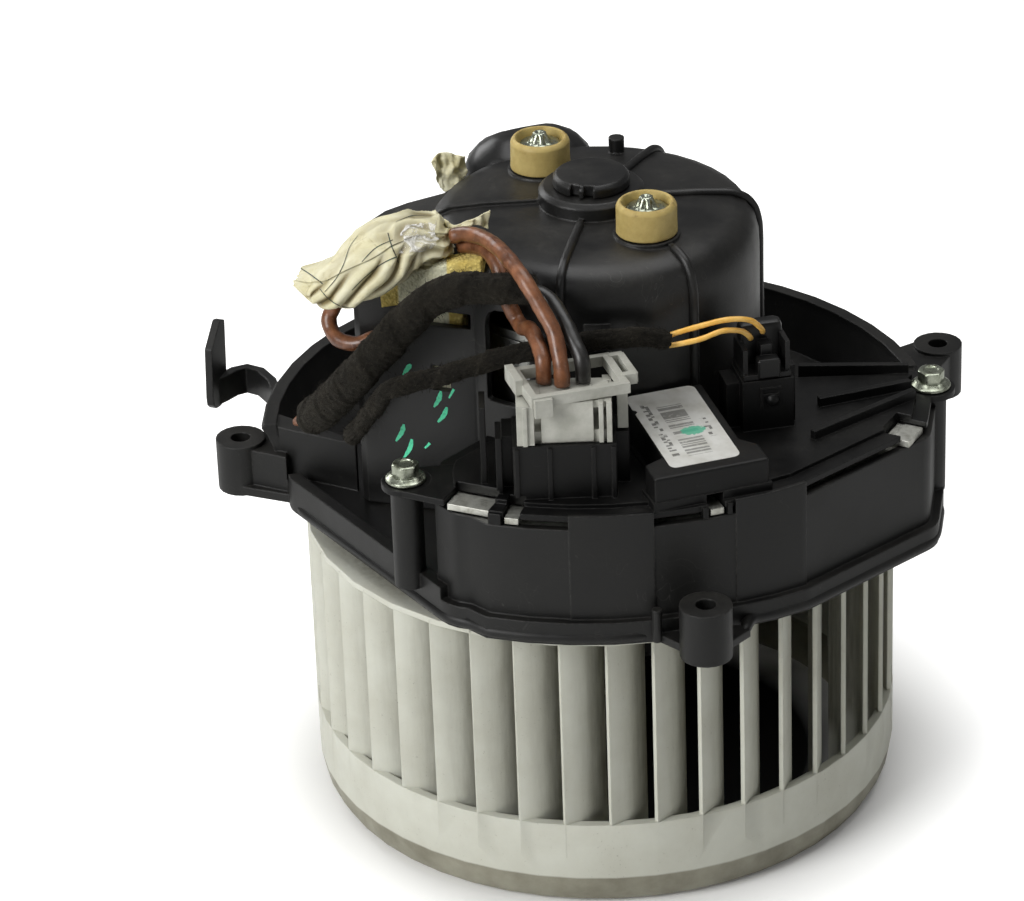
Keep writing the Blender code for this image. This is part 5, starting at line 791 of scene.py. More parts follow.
def satinLabel():
    # printed film: satin white, grey bars of random width, rows of blocks, one paint dab over them
    made = newMaterial("satinLabel")
    sheet = addNode(made, "ShaderNodeUVMap", {"uv_map": "millimetres"})[0]
    split = addNode(made, "ShaderNodeSeparateXYZ", {}, {0: sheet})
    across, along = split["X"], split["Y"]

    def between(value, low, high, edge=0.12):
        return addNode(made, "ShaderNodeMath", clampedProduct, {
            0: addNode(made, "ShaderNodeMapRange", {}, {"Value": value, "From Min": low, "From Max": low + edge})[0],
            1: addNode(made, "ShaderNodeMapRange", {}, {
                "Value": value, "From Min": high, "From Max": high - edge})[0]})[0]

    step = addNode(made, "ShaderNodeMath", {"operation": "SNAP"}, {0: along, 1: label["barPitch"]})[0]
    pick = addNode(made, "ShaderNodeTexWhiteNoise", {"noise_dimensions": "1D"}, {"W": step})["Value"]
    bars = addNode(made, "ShaderNodeMath", clampedProduct, {
        0: addNode(made, "ShaderNodeMapRange", {}, {"Value": pick, "From Min": 0.4, "From Max": 0.46})[0],
        1: between(across, *label["barsAcross"])})[0]
    bars = addNode(made, "ShaderNodeMath", clampedProduct, {
        0: bars, 1: between(along, *label["barsAlong"])})[0]
    # rows of plain blocks, some of them left out at random
    column = addNode(made, "ShaderNodeMath", {"operation": "SNAP"}, {0: along, 1: label["blockPitch"][0]})[0]
    row = addNode(made, "ShaderNodeMath", {"operation": "SNAP"}, {0: across, 1: label["blockPitch"][1]})[0]
    cell = addNode(made, "ShaderNodeCombineXYZ", {}, {"X": column, "Y": row})[0]
    block = addNode(made, "ShaderNodeTexWhiteNoise", {"noise_dimensions": "2D"}, {"Vector": cell})["Value"]
    sides = addNode(made, "ShaderNodeMath", {"operation": "ADD", "use_clamp": True}, {
        0: between(across, *label["leftRow"]),
        1: addNode(made, "ShaderNodeMath", clampedProduct, {
            0: between(across, *label["rightRow"]), 1: between(along, *label["rightRowAlong"])})[0]})[0]
    blocks = addNode(made, "ShaderNodeMath", clampedProduct, {
        0: addNode(made, "ShaderNodeMapRange", {}, {"Value": block, "From Min": 0.52, "From Max": 0.6})[0],
        1: addNode(made, "ShaderNodeMath", clampedProduct, {
            0: sides, 1: between(along, *label["blocksAlong"])})[0]})[0]
    ink = addNode(made, "ShaderNodeMath", {"operation": "MAXIMUM", "use_clamp": True}, {
        0: addNode(made, "ShaderNodeMath", clampedProduct, {0: bars, 1: 0.62})[0],
        1: addNode(made, "ShaderNodeMath", clampedProduct, {0: blocks, 1: 0.8})[0]})[0]
    # the sheet's own coordinates are in mm: worn spots of about 1 mm, smudges of about 6 mm
    wear = addNode(made, "ShaderNodeTexNoise", {}, {"Vector": sheet, "Scale": 0.9, "Detail": 5.0})["Fac"]
    smudge = addNode(made, "ShaderNodeTexNoise", {}, {"Vector": sheet, "Scale": 0.18, "Detail": 4.0})["Fac"]
    colour = addNode(made, "ShaderNodeMix", colourMix, {
        0: addNode(made, "ShaderNodeMapRange", {}, {"Value": smudge, "From Min": 0.4, "From Max": 0.7})[0],
        6: linear(label["white"]), 7: linear(label["handled"])})[2]
    ink = addNode(made, "ShaderNodeMath", clampedProduct, {
        0: ink,
        1: addNode(made, "ShaderNodeMapRange", {}, {
            "Value": wear, "From Min": 0.66, "From Max": 0.56, "To Min": 0.55, "To Max": 1.0})[0]})[0]
    colour = addNode(made, "ShaderNodeMix", colourMix, {
        0: ink, 6: colour, 7: linear(label["ink"])})[2]
    # the dab of paint lies over the bars
    centre = addNode(made, "ShaderNodeCombineXYZ", {}, {"X": label["dabCentre"][0], "Y": label["dabCentre"][1]})[0]
    gap = addNode(made, "ShaderNodeVectorMath", {"operation": "SUBTRACT"}, {0: sheet, 1: centre})["Vector"]
    gap = addNode(made, "ShaderNodeMapping", {}, {"Vector": gap, "Scale": label["dabSpread"]})[0]
    reach = addNode(made, "ShaderNodeVectorMath", {"operation": "LENGTH"}, {0: gap})["Value"]
    reach = addNode(made, "ShaderNodeMath", {"operation": "MULTIPLY_ADD"}, {0: wear, 1: 1.1, 2: reach})[0]
    colour = addNode(made, "ShaderNodeMix", colourMix, {
        0: addNode(made, "ShaderNodeMapRange", {}, {
            "Value": reach, "From Min": 1.62, "From Max": 1.46, "To Max": 0.85})[0], 6: colour,
        7: linear(label["dab"])})[2]
    bump = addNode(made, "ShaderNodeBump", {}, {"Strength": 0.15, "Distance": 0.0001, "Height": smudge})["Normal"]
    shader = addNode(made, "ShaderNodeBsdfPrincipled", {}, {
        "Base Color": colour,
        "Roughness": addNode(made, "ShaderNodeMapRange", {}, {
            "Value": smudge, "From Min": 0.3, "From Max": 0.7, "To Min": 0.28, "To Max": 0.42})[0], "Normal": bump,
        "IOR": 1.48})
    return closeMaterial(made, shader)


def makeLabel():
    # a thin sheet with rounded corners on the block's sloping top
    wide, long, radius, steps = (label[k] for k in ("wideMm", "longMm", "cornerMm", "cornerSteps"))
    outline = []
    for x, y, start in ((wide - radius, radius, -90), (wide - radius, long - radius, 0),
                        (radius, long - radius, 90), (radius, radius, 180)):
        for k in range(steps):
            angle = math.radians(start + 90 / (steps - 1) * k)
            outline.append((x + radius * math.cos(angle), y + radius * math.sin(angle)))
    outline[3 * steps:3 * steps] = label["nickMm"]   # after the third corner
    bm = bmesh.new()
    cosine, sine = math.cos(label["turn"]), math.sin(label["turn"])
    sheetUv = bm.loops.layers.uv.new("millimetres")
    placed, tops, bottoms = {}, [], []
    for x, y in outline:
        seat = label["frontTop"] + label["slope"] * y / 1000 - shaftEnd
        px = label["corner"][0] + (x * cosine - y * sine) / 1000
        py = label["corner"][1] + (x * sine + y * cosine) / 1000
        for height, into in ((seat + label["thickMm"] / 1000, tops), (seat - 0.00005, bottoms)):
            vert = bm.verts.new((px, py, height))
            placed[vert] = (x, y)
            into.append(vert)
    bm.faces.new(tops)
    bm.faces.new(bottoms[::-1])
    for k in range(len(outline)):
        n = (k + 1) % len(outline)
        bm.faces.new((bottoms[k], bottoms[n], tops[n], tops[k]))
    for face in bm.faces:
        for loop in face.loops:
            loop[sheetUv].uv = placed[loop.vert]
    made = linkMesh("printedLabel", bm, satinLabel())
    for face in made.data.polygons:
        face.use_smooth = False
    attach(made, "housing")


pieceFinish = {
    # node: (material, edge radius in mm; 0 keeps the edges as the CAD has them)
    "fan_wheel": (wheelPlastic, 0.0), "mounting_flange": (flangePolypropylene, 0.35),
    "motor_cover": (coverNylon, 0.30), "bearing_cap": (coverNylon, 0.35),
    "controller_cover": (controllerPolyester, 0.28), "cover_screw_left": (zincPlatedSteel, 0.25),
    "cover_screw_right": (zincPlatedSteel, 0.25), "heat_sink": (castAluminium, 0.25),
    "power_plug": (naturalPolyester, 0.25), "plug_lock": (naturalPolyester, 0.25),
    "signal_plug": (connectorNylon, 0.20), "motor_can": (drawnSteel, 0.4), "motor_end_plate": (drawnSteel, 0.2),
    "magnet_left": (pressedFerrite, 0.3), "magnet_right": (pressedFerrite, 0.3),
    "lower_bearing": (sinteredBronze, 0.2), "upper_bearing": (sinteredBronze, 0.2),
    "brush_holder": (phenolicResin, 0.2), "brush_front": (pressedCarbon, 0.15), "brush_rear": (pressedCarbon, 0.15),
    "motor_shaft": (drawnSteel, 0.2), "armature": (drawnSteel, 0.15), "commutator": (rolledCopper, 0.1),
    "hub_clip": (zincPlatedSteel, 0.12), "circuit_board": (circuitResist, 0.1),
}


edgeShape = {"weldMm": 0.01, "sharpDegrees": 33, "flatDegrees": 0.8, "segments": 2, "normalWeight": 50}


def finishPiece(name):
    # smooth shading and small rounded edges; the CAD mesh itself stays as it is
    material, edge = pieceFinish[name]
    piece = nodes[name]
    mesh = piece.data
    if "custom_normal" in mesh.attributes:
        mesh.attributes.remove(mesh.attributes["custom_normal"])
    for slot in piece.material_slots:
        slot.material = material
    for face in mesh.polygons:
        face.use_smooth = True
    weld = piece.modifiers.new("weld", "WELD")
    weld.merge_threshold = edgeShape["weldMm"] / 1000
    if not edge:
        crisp = piece.modifiers.new("crispEdges", "EDGE_SPLIT")
        crisp.split_angle = math.radians(edgeShape["sharpDegrees"])
        return
    flat = piece.modifiers.new("flatFaces", "DECIMATE")
    flat.decimate_type = "DISSOLVE"
    flat.angle_limit = math.radians(edgeShape["flatDegrees"])
    edges = piece.modifiers.new("edges", "BEVEL")
    edges.width = edge / 1000
    edges.segments = edgeShape["segments"]
    edges.limit_method = "ANGLE"
    edges.angle_limit = math.radians(edgeShape["sharpDegrees"])
    edges.use_clamp_overlap = True
    shade = piece.modifiers.new("shading", "WEIGHTED_NORMAL")
    shade.keep_sharp = True
    shade.weight = edgeShape["normalWeight"]


for name in pieceFinish:
    finishPiece(name)
print("CAD pieces finished:", len(pieceFinish))


sleeveShape = {
    # soft insulation is never quite round: (share of the radius, waves per metre)
    "oval": (0.025, 700), "swell": (0.02, 1900), "spacing": 0.0009,
}

wires = {
    # name: (CAD node, diameter, stated length, sleeve, slot, which end it leaves from, sides)
    "brownWireFront": ("brown_wire_front", 0.0042, 0.066, brownSilicone, "brown_sleeve", -1, 24),
    "brownWireRear": ("brown_wire_rear", 0.0042, 0.063, brownSilicone, "brown_sleeve", -1, 24),
    "brownWireLoop": ("brown_wire_loop", 0.0042, 0.034, brownSilicone, "brown_sleeve", 0, 24),
    "blackWire": ("black_wire", 0.0042, 0.031, blackSilicone, "black_sleeve", -1, 24),
    "yellowWireUpper": ("yellow_wire_upper", 0.0015, 0.032, yellowVinyl, "yellow_sleeve", -1, 14),
    "yellowWireLower": ("yellow_wire_lower", 0.0015, 0.031, yellowVinyl, "yellow_sleeve", -1, 14),
}


def makeWires():
    for name, (node, diameter, length, sleeve, slotName, end, sides) in wires.items():
        line = smoothLine(leadRoutes[node], sleeveShape["spacing"])

        def radiusAt(walked, angle, diameter=diameter):
            (oval, turns), (swell, waves) = sleeveShape["oval"], sleeveShape["swell"]
            return diameter / 2 * (1 + oval * math.sin(walked * turns + 2 * angle) + swell * math.sin(walked * waves))

        made = tubeMesh(name, line, radiusAt, sides, sleeve)
        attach(made, "housing")
        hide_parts(node)
        print(name, "length", round(lineLength(line), 4))


harness = {
    # name: (CAD node, diameter, stated length, share of it where it starts, end it leaves from, far end)
    "pieces": {"harnessSheath": ("harness_sheath", 0.0104, 0.097, 0.80, -1, "bare"),
               "harnessBranch": ("harness_branch", 0.0054, 0.114, 1.0, 0, "object")},
    "tapeStep": 0.0125,      # how far the fleece advances in one turn
    "tapeRise": 0.00045,     # how far a lap stands over the last one
    "pile": 0.00035,
    "spacing": 0.0006,       # between the rings of the mesh
    "sides": 72,
    "fibres": {"harnessSheath": 3224, "harnessBranch": 1976},
    "fibreLong": (0.0006, 0.0022),
    "fibreWide": 0.00006,
    "fibreLift": (0.15, 0.8),    # how steeply they stand off
    "fibreBend": (-0.1, 0.2),
}

cutEnds = {
    # each cut lead: (sleeve, its place sideways and upwards, how far it shows in mm, diameter in mm)
    "leads": [("brown", -2.4, 0.6, 4.6, 2.5), ("brown", 0.4, -1.6, 6.0, 2.3), ("black", 2.2, 1.2, 3.4, 2.2),
              ("black", -0.6, 2.4, 2.6, 2.0)],
    "root": 0.006,                 # how deep in the sheath they start
    "spread": (0.0008, 0.0012),    # from the middle, at root and tip
    "sag": 0.0004,
    "core": 0.56,                  # the strands' share of the diameter
    "coreShows": 0.0012,
}


def makeCutEnds(line):
    # the sheath's leads, cut off short: insulation, and the strands standing out of it
    end, along = line[-1], (line[-1] - line[-4]).normalized()
    side = along.cross(Vector((0, 0, 1))).normalized()
    up = side.cross(along)
    pieces = []
    for i, (colour, across, above, shows, wide) in enumerate(cutEnds["leads"]):
        aside = side * across + up * above
        root = end - along * cutEnds["root"] + aside * cutEnds["spread"][0]
        tip = end + along * shows / 1000 + aside * cutEnds["spread"][1]
        path = [root.lerp(tip, k / 12) + up * cutEnds["sag"] * math.sin(math.pi * k / 12) for k in range(13)]
        radius = wide / 2000
        sleeve = tubeMesh(f"cutLead{i + 1}", path, lambda walked, angle, r=radius: r, 20,
                          brownSilicone if colour == "brown" else blackSilicone)
        way = (path[-1] - path[-2]).normalized()
        core = [path[-1] - way * 0.0010, path[-1] + way * 0.0001, path[-1] + way * cutEnds["coreShows"] * 0.6,
                path[-1] + way * cutEnds["coreShows"]]

        def strands(walked, angle, r=radius * cutEnds["core"]):
            return r * (0.86 + 0.14 * abs(math.sin(angle * 4 + walked * 900)))

        wire = tubeMesh(f"cutStrands{i + 1}", core, strands, 32, copperStrand)
        for piece in (sleeve, wire):
            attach(piece, "housing")
            pieces.append(piece)
    return pieces


def makeHarness():
    lines = {}
    for name, (node, diameter, length, narrow, leaves, farEnd) in harness["pieces"].items():
        line = smoothLine(leadRoutes[node], harness["spacing"])
        whole = lineLength(line)

        def radiusAt(walked, angle, diameter=diameter, whole=whole, narrow=narrow):
            lap = (walked / harness["tapeStep"] + angle / math.tau) % 1.0
            grown = 1.0 - (1.0 - narrow) * max(0.0, 1.0 - 2.2 * walked / whole)
            rise = harness["tapeRise"] * (0.5 - lap) * (1 if lap > 0.04 else lap / 0.04)
            spot = Vector((walked * 900, math.cos(angle) * 3.1, math.sin(angle) * 3.1))
            pile = harness["pile"] * (noise.noise(spot) + 0.5 * noise.noise(spot * 2.3))
            lump = 0.0005 * noise.noise(Vector((walked * 110, math.cos(angle), math.sin(angle))))
            ends = min(1.0, 0.90 + walked / 0.012, 0.90 + (whole - walked) / 0.012)
            return (diameter / 2 * 0.96 * grown + rise + lump) * ends + pile

        made = tubeMesh(name, line, radiusAt, harness["sides"], fleece)
        ends = makeCutEnds(line) if farEnd == "bare" else []
        lines[name] = (line, radiusAt)
        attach(made, "housing")
        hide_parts(node)
        print(name, "length", round(whole, 4))
    makeFibres(lines)


def makeFibres(lines):
    # loose fibres that stand off the fleece
    bm = bmesh.new()
    for name, (line, radiusAt) in lines.items():
        whole = lineLength(line)
        for _ in range(harness["fibres"][name]):
            share = chance.random() * (len(line) - 2)
            i = int(share)
            centre = line[i].lerp(line[i + 1], share - i)
            along = (line[i + 1] - line[i]).normalized()
            side = along.cross(Vector((0, 0, 1))).normalized()
            up = along.cross(side)
            angle = chance.random() * math.tau
            out = side * math.cos(angle) + up * math.sin(angle)
            around = along.cross(out)
            root = centre + out * radiusAt(whole * share / len(line), angle) * 0.97
            long = chance.uniform(*harness["fibreLong"])
            lean = along * chance.uniform(-1, 1) + around * chance.uniform(-1, 1)
            tip = root + (out * chance.uniform(*harness["fibreLift"]) + lean * 0.8).normalized() * long
            middle = root.lerp(tip, 0.5) + out * long * chance.uniform(*harness["fibreBend"])
            wide = (tip - root).cross(out + lean * 0.3).normalized() * harness["fibreWide"]
            verts = [bm.verts.new(p) for p in (root - wide, root + wide, middle + wide * 0.7, middle - wide * 0.7, tip)]
            bm.faces.new(verts[:4])
            bm.faces.new((verts[3], verts[2], verts[4]))
    made = linkMesh("fleeceFibres", bm, fleece)
    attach(made, "housing")


makeWires()
makeHarness()
makeLabel()
print("leads and label made")


damper = {
    "ring": 0.0261, "outer": 0.0082, "mouth": 0.0066, "bore": 0.0062, "seat": 0.0062,
    "bottom": 0.1758 - shaftEnd, "top": 0.1846 - shaftEnd, "edge": 0.0004,
    "places": {"rear": math.radians(120.8), "front": math.radians(-57.5)},
    "starBase": 0.0037, "starTop": 0.0018, "starHigh": 0.0038, "flutes": 7, "fluteDeep": 0.34,
    "washer": 0.0056,
}


def turnedMesh(name, centre, profile, steps, material, shape=None):
    # profile is (radius, height); shape(radius, height, angle) may change the radius
    bm = bmesh.new()
    rings = []
    for radius, height in profile:
        if radius < 1e-7:
            rings.append([bm.verts.new(centre + Vector((0, 0, height)))])
            continue
        ring = []
        for k in range(steps):
            angle = math.tau * k / steps
            r = shape(radius, height, angle) if shape else radius
            ring.append(bm.verts.new(centre + Vector((r * math.cos(angle), r * math.sin(angle), height))))
        rings.append(ring)
    for first, second in zip(rings, rings[1:]):
        for k in range(steps):
            n = (k + 1) % steps
            if len(first) == 1:
                bm.faces.new((first[0], second[k], second[n]))
            elif len(second) == 1:
                bm.faces.new((first[k], second[0], first[n]))
            else:
                bm.faces.new((first[k], second[k], second[n], first[n]))
    bmesh.ops.recalc_face_normals(bm, faces=bm.faces)
    return linkMesh(name, bm, material)


def makeDampers():
    d = damper
    edge, low, high = d["edge"], d["bottom"], d["top"]
    for name, azimuth in d["places"].items():
        centre = Vector((d["ring"] * math.cos(azimuth), d["ring"] * math.sin(azimuth), 0.0))
        profile = [(d["bore"] - 0.003, low), (d["outer"] - edge * 0.5, low), (d["outer"] + 0.00008, low + edge * 0.4),
                   (d["outer"] + 0.0001, low + edge), (d["outer"], (low + high) / 2), (d["outer"], high - 0.0014),
                   (d["outer"] - 0.00010, high - 0.0011), (d["outer"] - 0.00030, high - 0.0007),
                   (d["outer"] - 0.00062, high - 0.0003), (d["outer"] - 0.00095, high - 0.00005),
                   (d["outer"] - 0.0012, high), (d["mouth"] + 0.0002, high - 0.00005), (d["mouth"], high - 0.0003),
                   (d["bore"] + 0.0002, high - 0.0016), (d["bore"], high - 0.0024), (d["bore"], low + d["seat"]),
                   (d["bore"] - 0.003, low + d["seat"]), (d["bore"] - 0.003, low)]

        def handled(radius, height, angle, centre=centre):
            # soft rubber: slightly out of round, nicked along the rim
            spot = Vector((math.cos(angle) * 2.2, math.sin(angle) * 2.2, height * 260)) + centre * 90
            return radius + 0.00008 * noise.noise(spot) + 0.00005 * noise.noise(spot * 4)

        ring = turnedMesh("damperRing" + name.capitalize(), centre, profile, 96, creamRubber, handled)
        shade = ring.modifiers.new("shading", "WEIGHTED_NORMAL")
        shade.weight = 50
        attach(ring, "housing")
        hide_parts("damper_ring_" + name)

        seat = low + d["seat"]
        profile = [(0.0024, seat - 0.0060), (0.0024, seat), (d["washer"], seat), (d["washer"], seat + 0.0006),
                   (d["washer"] - 0.0004, seat + 0.0009), (d["starBase"] + 0.0007, seat + 0.0010)]
        for k in range(13):
            share = k / 12
            radius = d["starBase"] + (d["starTop"] - d["starBase"]) * share ** 0.85
            profile.append((radius, seat + 0.0010 + (d["starHigh"] - 0.0010) * share ** 1.15))
        profile += [(d["starTop"] * 0.8, seat + d["starHigh"] + 0.0002),
                    (d["starTop"] * 0.4, seat + d["starHigh"] + 0.0002),
                    (d["starTop"] * 0.3, seat + d["starHigh"] - 0.0004), (0.0, seat + d["starHigh"] - 0.0005)]

        def fluted(radius, height, angle, seat=seat):
            share = (height - seat - 0.0011) / (d["starHigh"] - 0.0011)
            if not 0.0 < share < 1.02:
                return radius
            wave = abs(math.sin(angle * d["flutes"] / 2)) ** 0.7
            return radius * (1 - d["fluteDeep"] * (1 - wave) * (0.35 + 0.65 * math.sin(math.pi * min(1, share + 0.1))))

        star = turnedMesh("starScrew" + name.capitalize(), centre, profile, 112, zincPlatedSteel, fluted)
        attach(star, "housing")
        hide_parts("damper_screw_" + name)


coverScrew = {
    "across": 0.0066, "flange": 0.0054, "rim": 0.0007, "cone": 0.0017, "hexTop": 0.0043, "crown": 0.0048,
    "headRise": 0.0052, "shank": 0.0020, "long": 0.0160, "turn": {"left": 0.22, "right": 0.05},
}


def makeCoverScrews():
    # hexagon heads with a flange pressed on, edges rounded off by the press
    c = coverScrew
    for name, turn in c["turn"].items():
        low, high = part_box("cover_screw_" + name)
        centre = Vector(((low.x + high.x) / 2, (low.y + high.y) / 2, 0))
        seat = high.z - c["headRise"]
        flat, flange = c["across"] / 2, c["flange"]
        profile = [(0.0, seat - c["long"]), (c["shank"], seat - c["long"]), (c["shank"], seat), (flange, seat),
                   (flange + 0.00004, seat + c["rim"] * 0.5), (flange - 0.0001, seat + c["rim"]),
                   (flange - 0.0006, seat + c["rim"] + 0.0003), (flat + 0.0009, seat + c["cone"] - 0.0001),
                   (flat + 0.0006, seat + c["cone"] + 0.00005)]
        profile += [(flat + 0.0006, seat + c["cone"] + (c["hexTop"] - c["cone"]) * k / 6) for k in range(1, 7)]
        profile += [(flat + 0.00035, seat + c["hexTop"] + 0.00018), (flat + 0.0001, seat + c["hexTop"] + 0.00033),
                    (flat - 0.0003, seat + c["crown"]), (flat * 0.66, seat + c["crown"]),
                    (flat * 0.60, seat + c["crown"] - 0.0003), (0.0, seat + c["crown"] - 0.0003)]

        def sixSided(radius, height, angle, seat=seat, turn=turn, flat=flat):
            if height < seat + c["cone"] or radius < flat - 0.0004:
                return radius
            part = (angle - turn) % (math.pi / 3) - math.pi / 6
            # soft corners: the hexagon's reach, levelled off near each corner
            return min(radius, flat / math.cos(part) - 0.00016 * max(0.0, abs(part) / (math.pi / 6)) ** 6)

        screw = turnedMesh("coverScrew" + name.capitalize(), centre, profile, 144, zincPlatedSteel, sixSided)
        crisp = screw.modifiers.new("crispEdges", "EDGE_SPLIT")
        crisp.split_angle = math.radians(32)
        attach(screw, "housing")
        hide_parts("cover_screw_" + name)


tape = {
    # upper and lower edge in the picture, and how far back each section lies
    "edges": [((447, 223), (453, 248), -0.0185), ((431, 213), (443, 262), -0.0195), ((411, 211), (413, 267), -0.0215),
              ((389, 217), (392, 281), -0.0235), ((364, 231), (371, 297), -0.0250), ((340, 246), (350, 311), -0.0240),
              ((318, 259), (325, 304), -0.0215), ((295, 266), (302, 286), -0.0200)],
    "depth": (0.0030, 0.0056, 0.0062, 0.0074, 0.0072, 0.0064, 0.0044, 0.0012),
    "around": 150, "along": 200,
    "flatSize": (0.050, 0.062),
    "fingers": 0.0030,    # how deep the slanting folds on the lower front go
    "pleats": 0.0020,     # the pleats that gather towards the knot
    "dents": 0.0009,
    "ridges": 0.0012,
    "foldPitch": 0.125, "foldStart": 0.655, "foldSlant": 0.17,   # as shares of the bundle's length
    "freeEdge": 2.35,     # where round the bundle the tape's free edge lies
    "overlap": 0.45, "lift": 0.0005,
    "lookDown": (0.88, 0.47),   # cosine and sine of the 28 degrees that the picture looks down
    "widest": 0.0165,
    # the torn tip at the knot and the scrap behind the duct: picture lines along both edges, and their depths
    "tipTop": [(444, 219), (455, 225), (466, 221), (477, 217), (490, 210)],
    "tipLow": [(446, 233), (457, 238), (467, 229), (477, 225), (488, 229)],
    "tipDepths": (-0.0215, -0.0235, -0.0245, -0.0250, -0.0245),
    "scrapTop": [(431, 162), (436, 155), (446, 152), (457, 155), (465, 157)],
    "scrapLow": [(437, 176), (441, 187), (447, 192), (457, 188), (469, 172)],
    "scrapDepths": (0.0275, 0.0285, 0.0280, 0.0290, 0.0295),
    "scrapCreases": ((210.0, 0.0012), (480.0, 0.0006)),
    "paper": 0.00018,
}


def atDepth(u, v, y):
    # the point on a sight line at this distance along y
    start, way = sightLine(u, v)
    return start + way * ((y - start.y) / way.y)


def crumple(point, creases):
    # sharp folds: valleys where slow noises cross zero
    total = 0.0
    for scale, deep in creases:
        total += deep * (0.5 - min(1.0, 2.6 * abs(noise.noise(point * scale + Vector((7.1, 3.3, 1.7))))))
    return total


def tapeRelief(share, angle, point):
    # slow dents, slanting finger-like folds on the lower front, pleats towards the knot
    slow = noise.noise(point * 62 + Vector((3.1, 0.4, 8.2))) + 0.35 * noise.noise(point * 150)
    bent = share - tape["foldSlant"] * (angle - 4.2) + 0.016 * noise.noise(point * 110)
    lower = max(0.0, min(1.0, (angle - 2.35) / 0.5)) * max(0.0, min(1.0, (5.3 - angle) / 0.5))
    middle = max(0.0, min(1.0, (share - 0.30) / 0.12)) * max(0.0, min(1.0, (0.93 - share) / 0.1))
    wave = abs(math.sin(math.pi * (bent - tape["foldStart"]) / tape["foldPitch"]))
    finger = (wave ** 0.6 - 0.75) * lower * middle
    gather = max(0.0, 1 - share / 0.55)
    pleat = (0.55 - abs(math.sin(5.5 * angle + 2.2 * noise.noise(point * 140)))) * gather
    ridge = (0.4 - min(1.0, 3.0 * abs(noise.noise(point * 120 + Vector((1.0, 5.0, 2.0)))))) * (0.25 + 0.75 * gather)
    relief = tape["dents"] * slow + tape["fingers"] * finger + tape["pleats"] * pleat + tape["ridges"] * ridge
    return relief * min(1, 4 * (1 - share) + 0.15)


def makeTapeWrap():
    centres, halves = [], []
    for upper, lower, y in tape["edges"]:
        a, b = atDepth(*upper, y), atDepth(*lower, y)
        centres.append((a + b) / 2)
        halves.append((a - b).length / 2 * math.cos(math.radians(28)))
    bm = bmesh.new()
    # how deep each corner lies in the relief, for the painted shade in the valleys
    sunk = bm.verts.layers.float.new("sunk")
    rings = []
    for i in range(tape["along"] + 1):
        share = i / tape["along"]
        centre = curveAt(centres, share)
        along = (curveAt(centres, min(1, share + 0.01)) - curveAt(centres, max(0, share - 0.01))).normalized()
        side = along.cross(Vector((0, 0, 1))).normalized()
        up = side.cross(along).normalized()
        tall, thick = curveAt(halves, share), curveAt(list(tape["depth"]), share)
        # the section as wide as the picture asks, seen from above at 28 degrees
        cosine, sine = tape["lookDown"]
        wide = min(math.sqrt(max(1e-7, tall ** 2 - (thick * cosine) ** 2)) / sine, tape["widest"])
        ring = []
        for k in range(tape["around"] + 1):
            turned = (math.tau + tape["overlap"]) * k / tape["around"]
            angle = (tape["freeEdge"] - turned) % math.tau
            c = math.cos(angle)
            out = side * wide * math.copysign(abs(c) ** 0.9, c) + up * thick * math.sin(angle)
            point = centre + out
            relief = tapeRelief(share, angle, point)
            raw = out.normalized() * (relief + tape["lift"] * (1 - turned / math.tau))
            end = min(share, 1 - share) * tape["along"]
            ragged = along * (0.0008 * noise.noise(Vector((angle * 2.1, 4.0 if share < 0.5 else 9.0, 0.3)))
                              + 0.0003 * noise.noise(Vector((angle * 7.0, 2.0, share)))) * max(0.0, 1 - end / 12)
            corner = bm.verts.new(point + raw + ragged)
            corner[sunk] = max(0.0, min(1.0, 0.5 - relief / 0.0022))
            ring.append(corner)
        rings.append(ring)
    joinRows(bm, rings)
    made = linkMesh("tapeWrap", bm, creamTape)
    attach(made, "housing")
    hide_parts("tape_wrap")
    return made


def stripFrom(name, top, bottom, depths, material, across=10, along=36, creases=((240.0, 0.0009), (600.0, 0.0004))):
    # a crumpled strip between two picture lines
    bm = bmesh.new()
    topLine = [atDepth(*p, y) for p, y in zip(top, depths)]
    lowLine = [atDepth(*p, y) for p, y in zip(bottom, depths)]
    rows = []
    for i in range(along + 1):
        a, b = curveAt(topLine, i / along), curveAt(lowLine, i / along)
        row = []
        for k in range(across + 1):
            point = a.lerp(b, k / across)
            out = Vector((0.25, -0.85, 0.45)).normalized()
            row.append(bm.verts.new(point + out * crumple(point, creases) * 1.6))
        rows.append(row)
    joinRows(bm, rows, flipped=True)
    made = linkMesh(name, bm, material)
    thick = made.modifiers.new("paper", "SOLIDIFY")
    thick.thickness = tape["paper"]
    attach(made, "housing")
    return made


def treeOf(*pieces):
    trees = []
    for piece in pieces:
        mesh = piece.data
        trees.append(BVHTree.FromPolygons([v.co for v in mesh.vertices], [tuple(p.vertices) for p in mesh.polygons]))
    return trees


def onSurface(trees, u, v):
    # where a sight line first meets one of these surfaces, and the surface's normal there
    start, way = sightLine(u, v)
    best = None
    for tree in trees:
        place, normal, _, far = tree.ray_cast(start, way)
        if place is not None and (best is None or far < best[0]):
            best = (far, place, normal if normal.dot(way) < 0 else -normal)
    return best[1:] if best else None


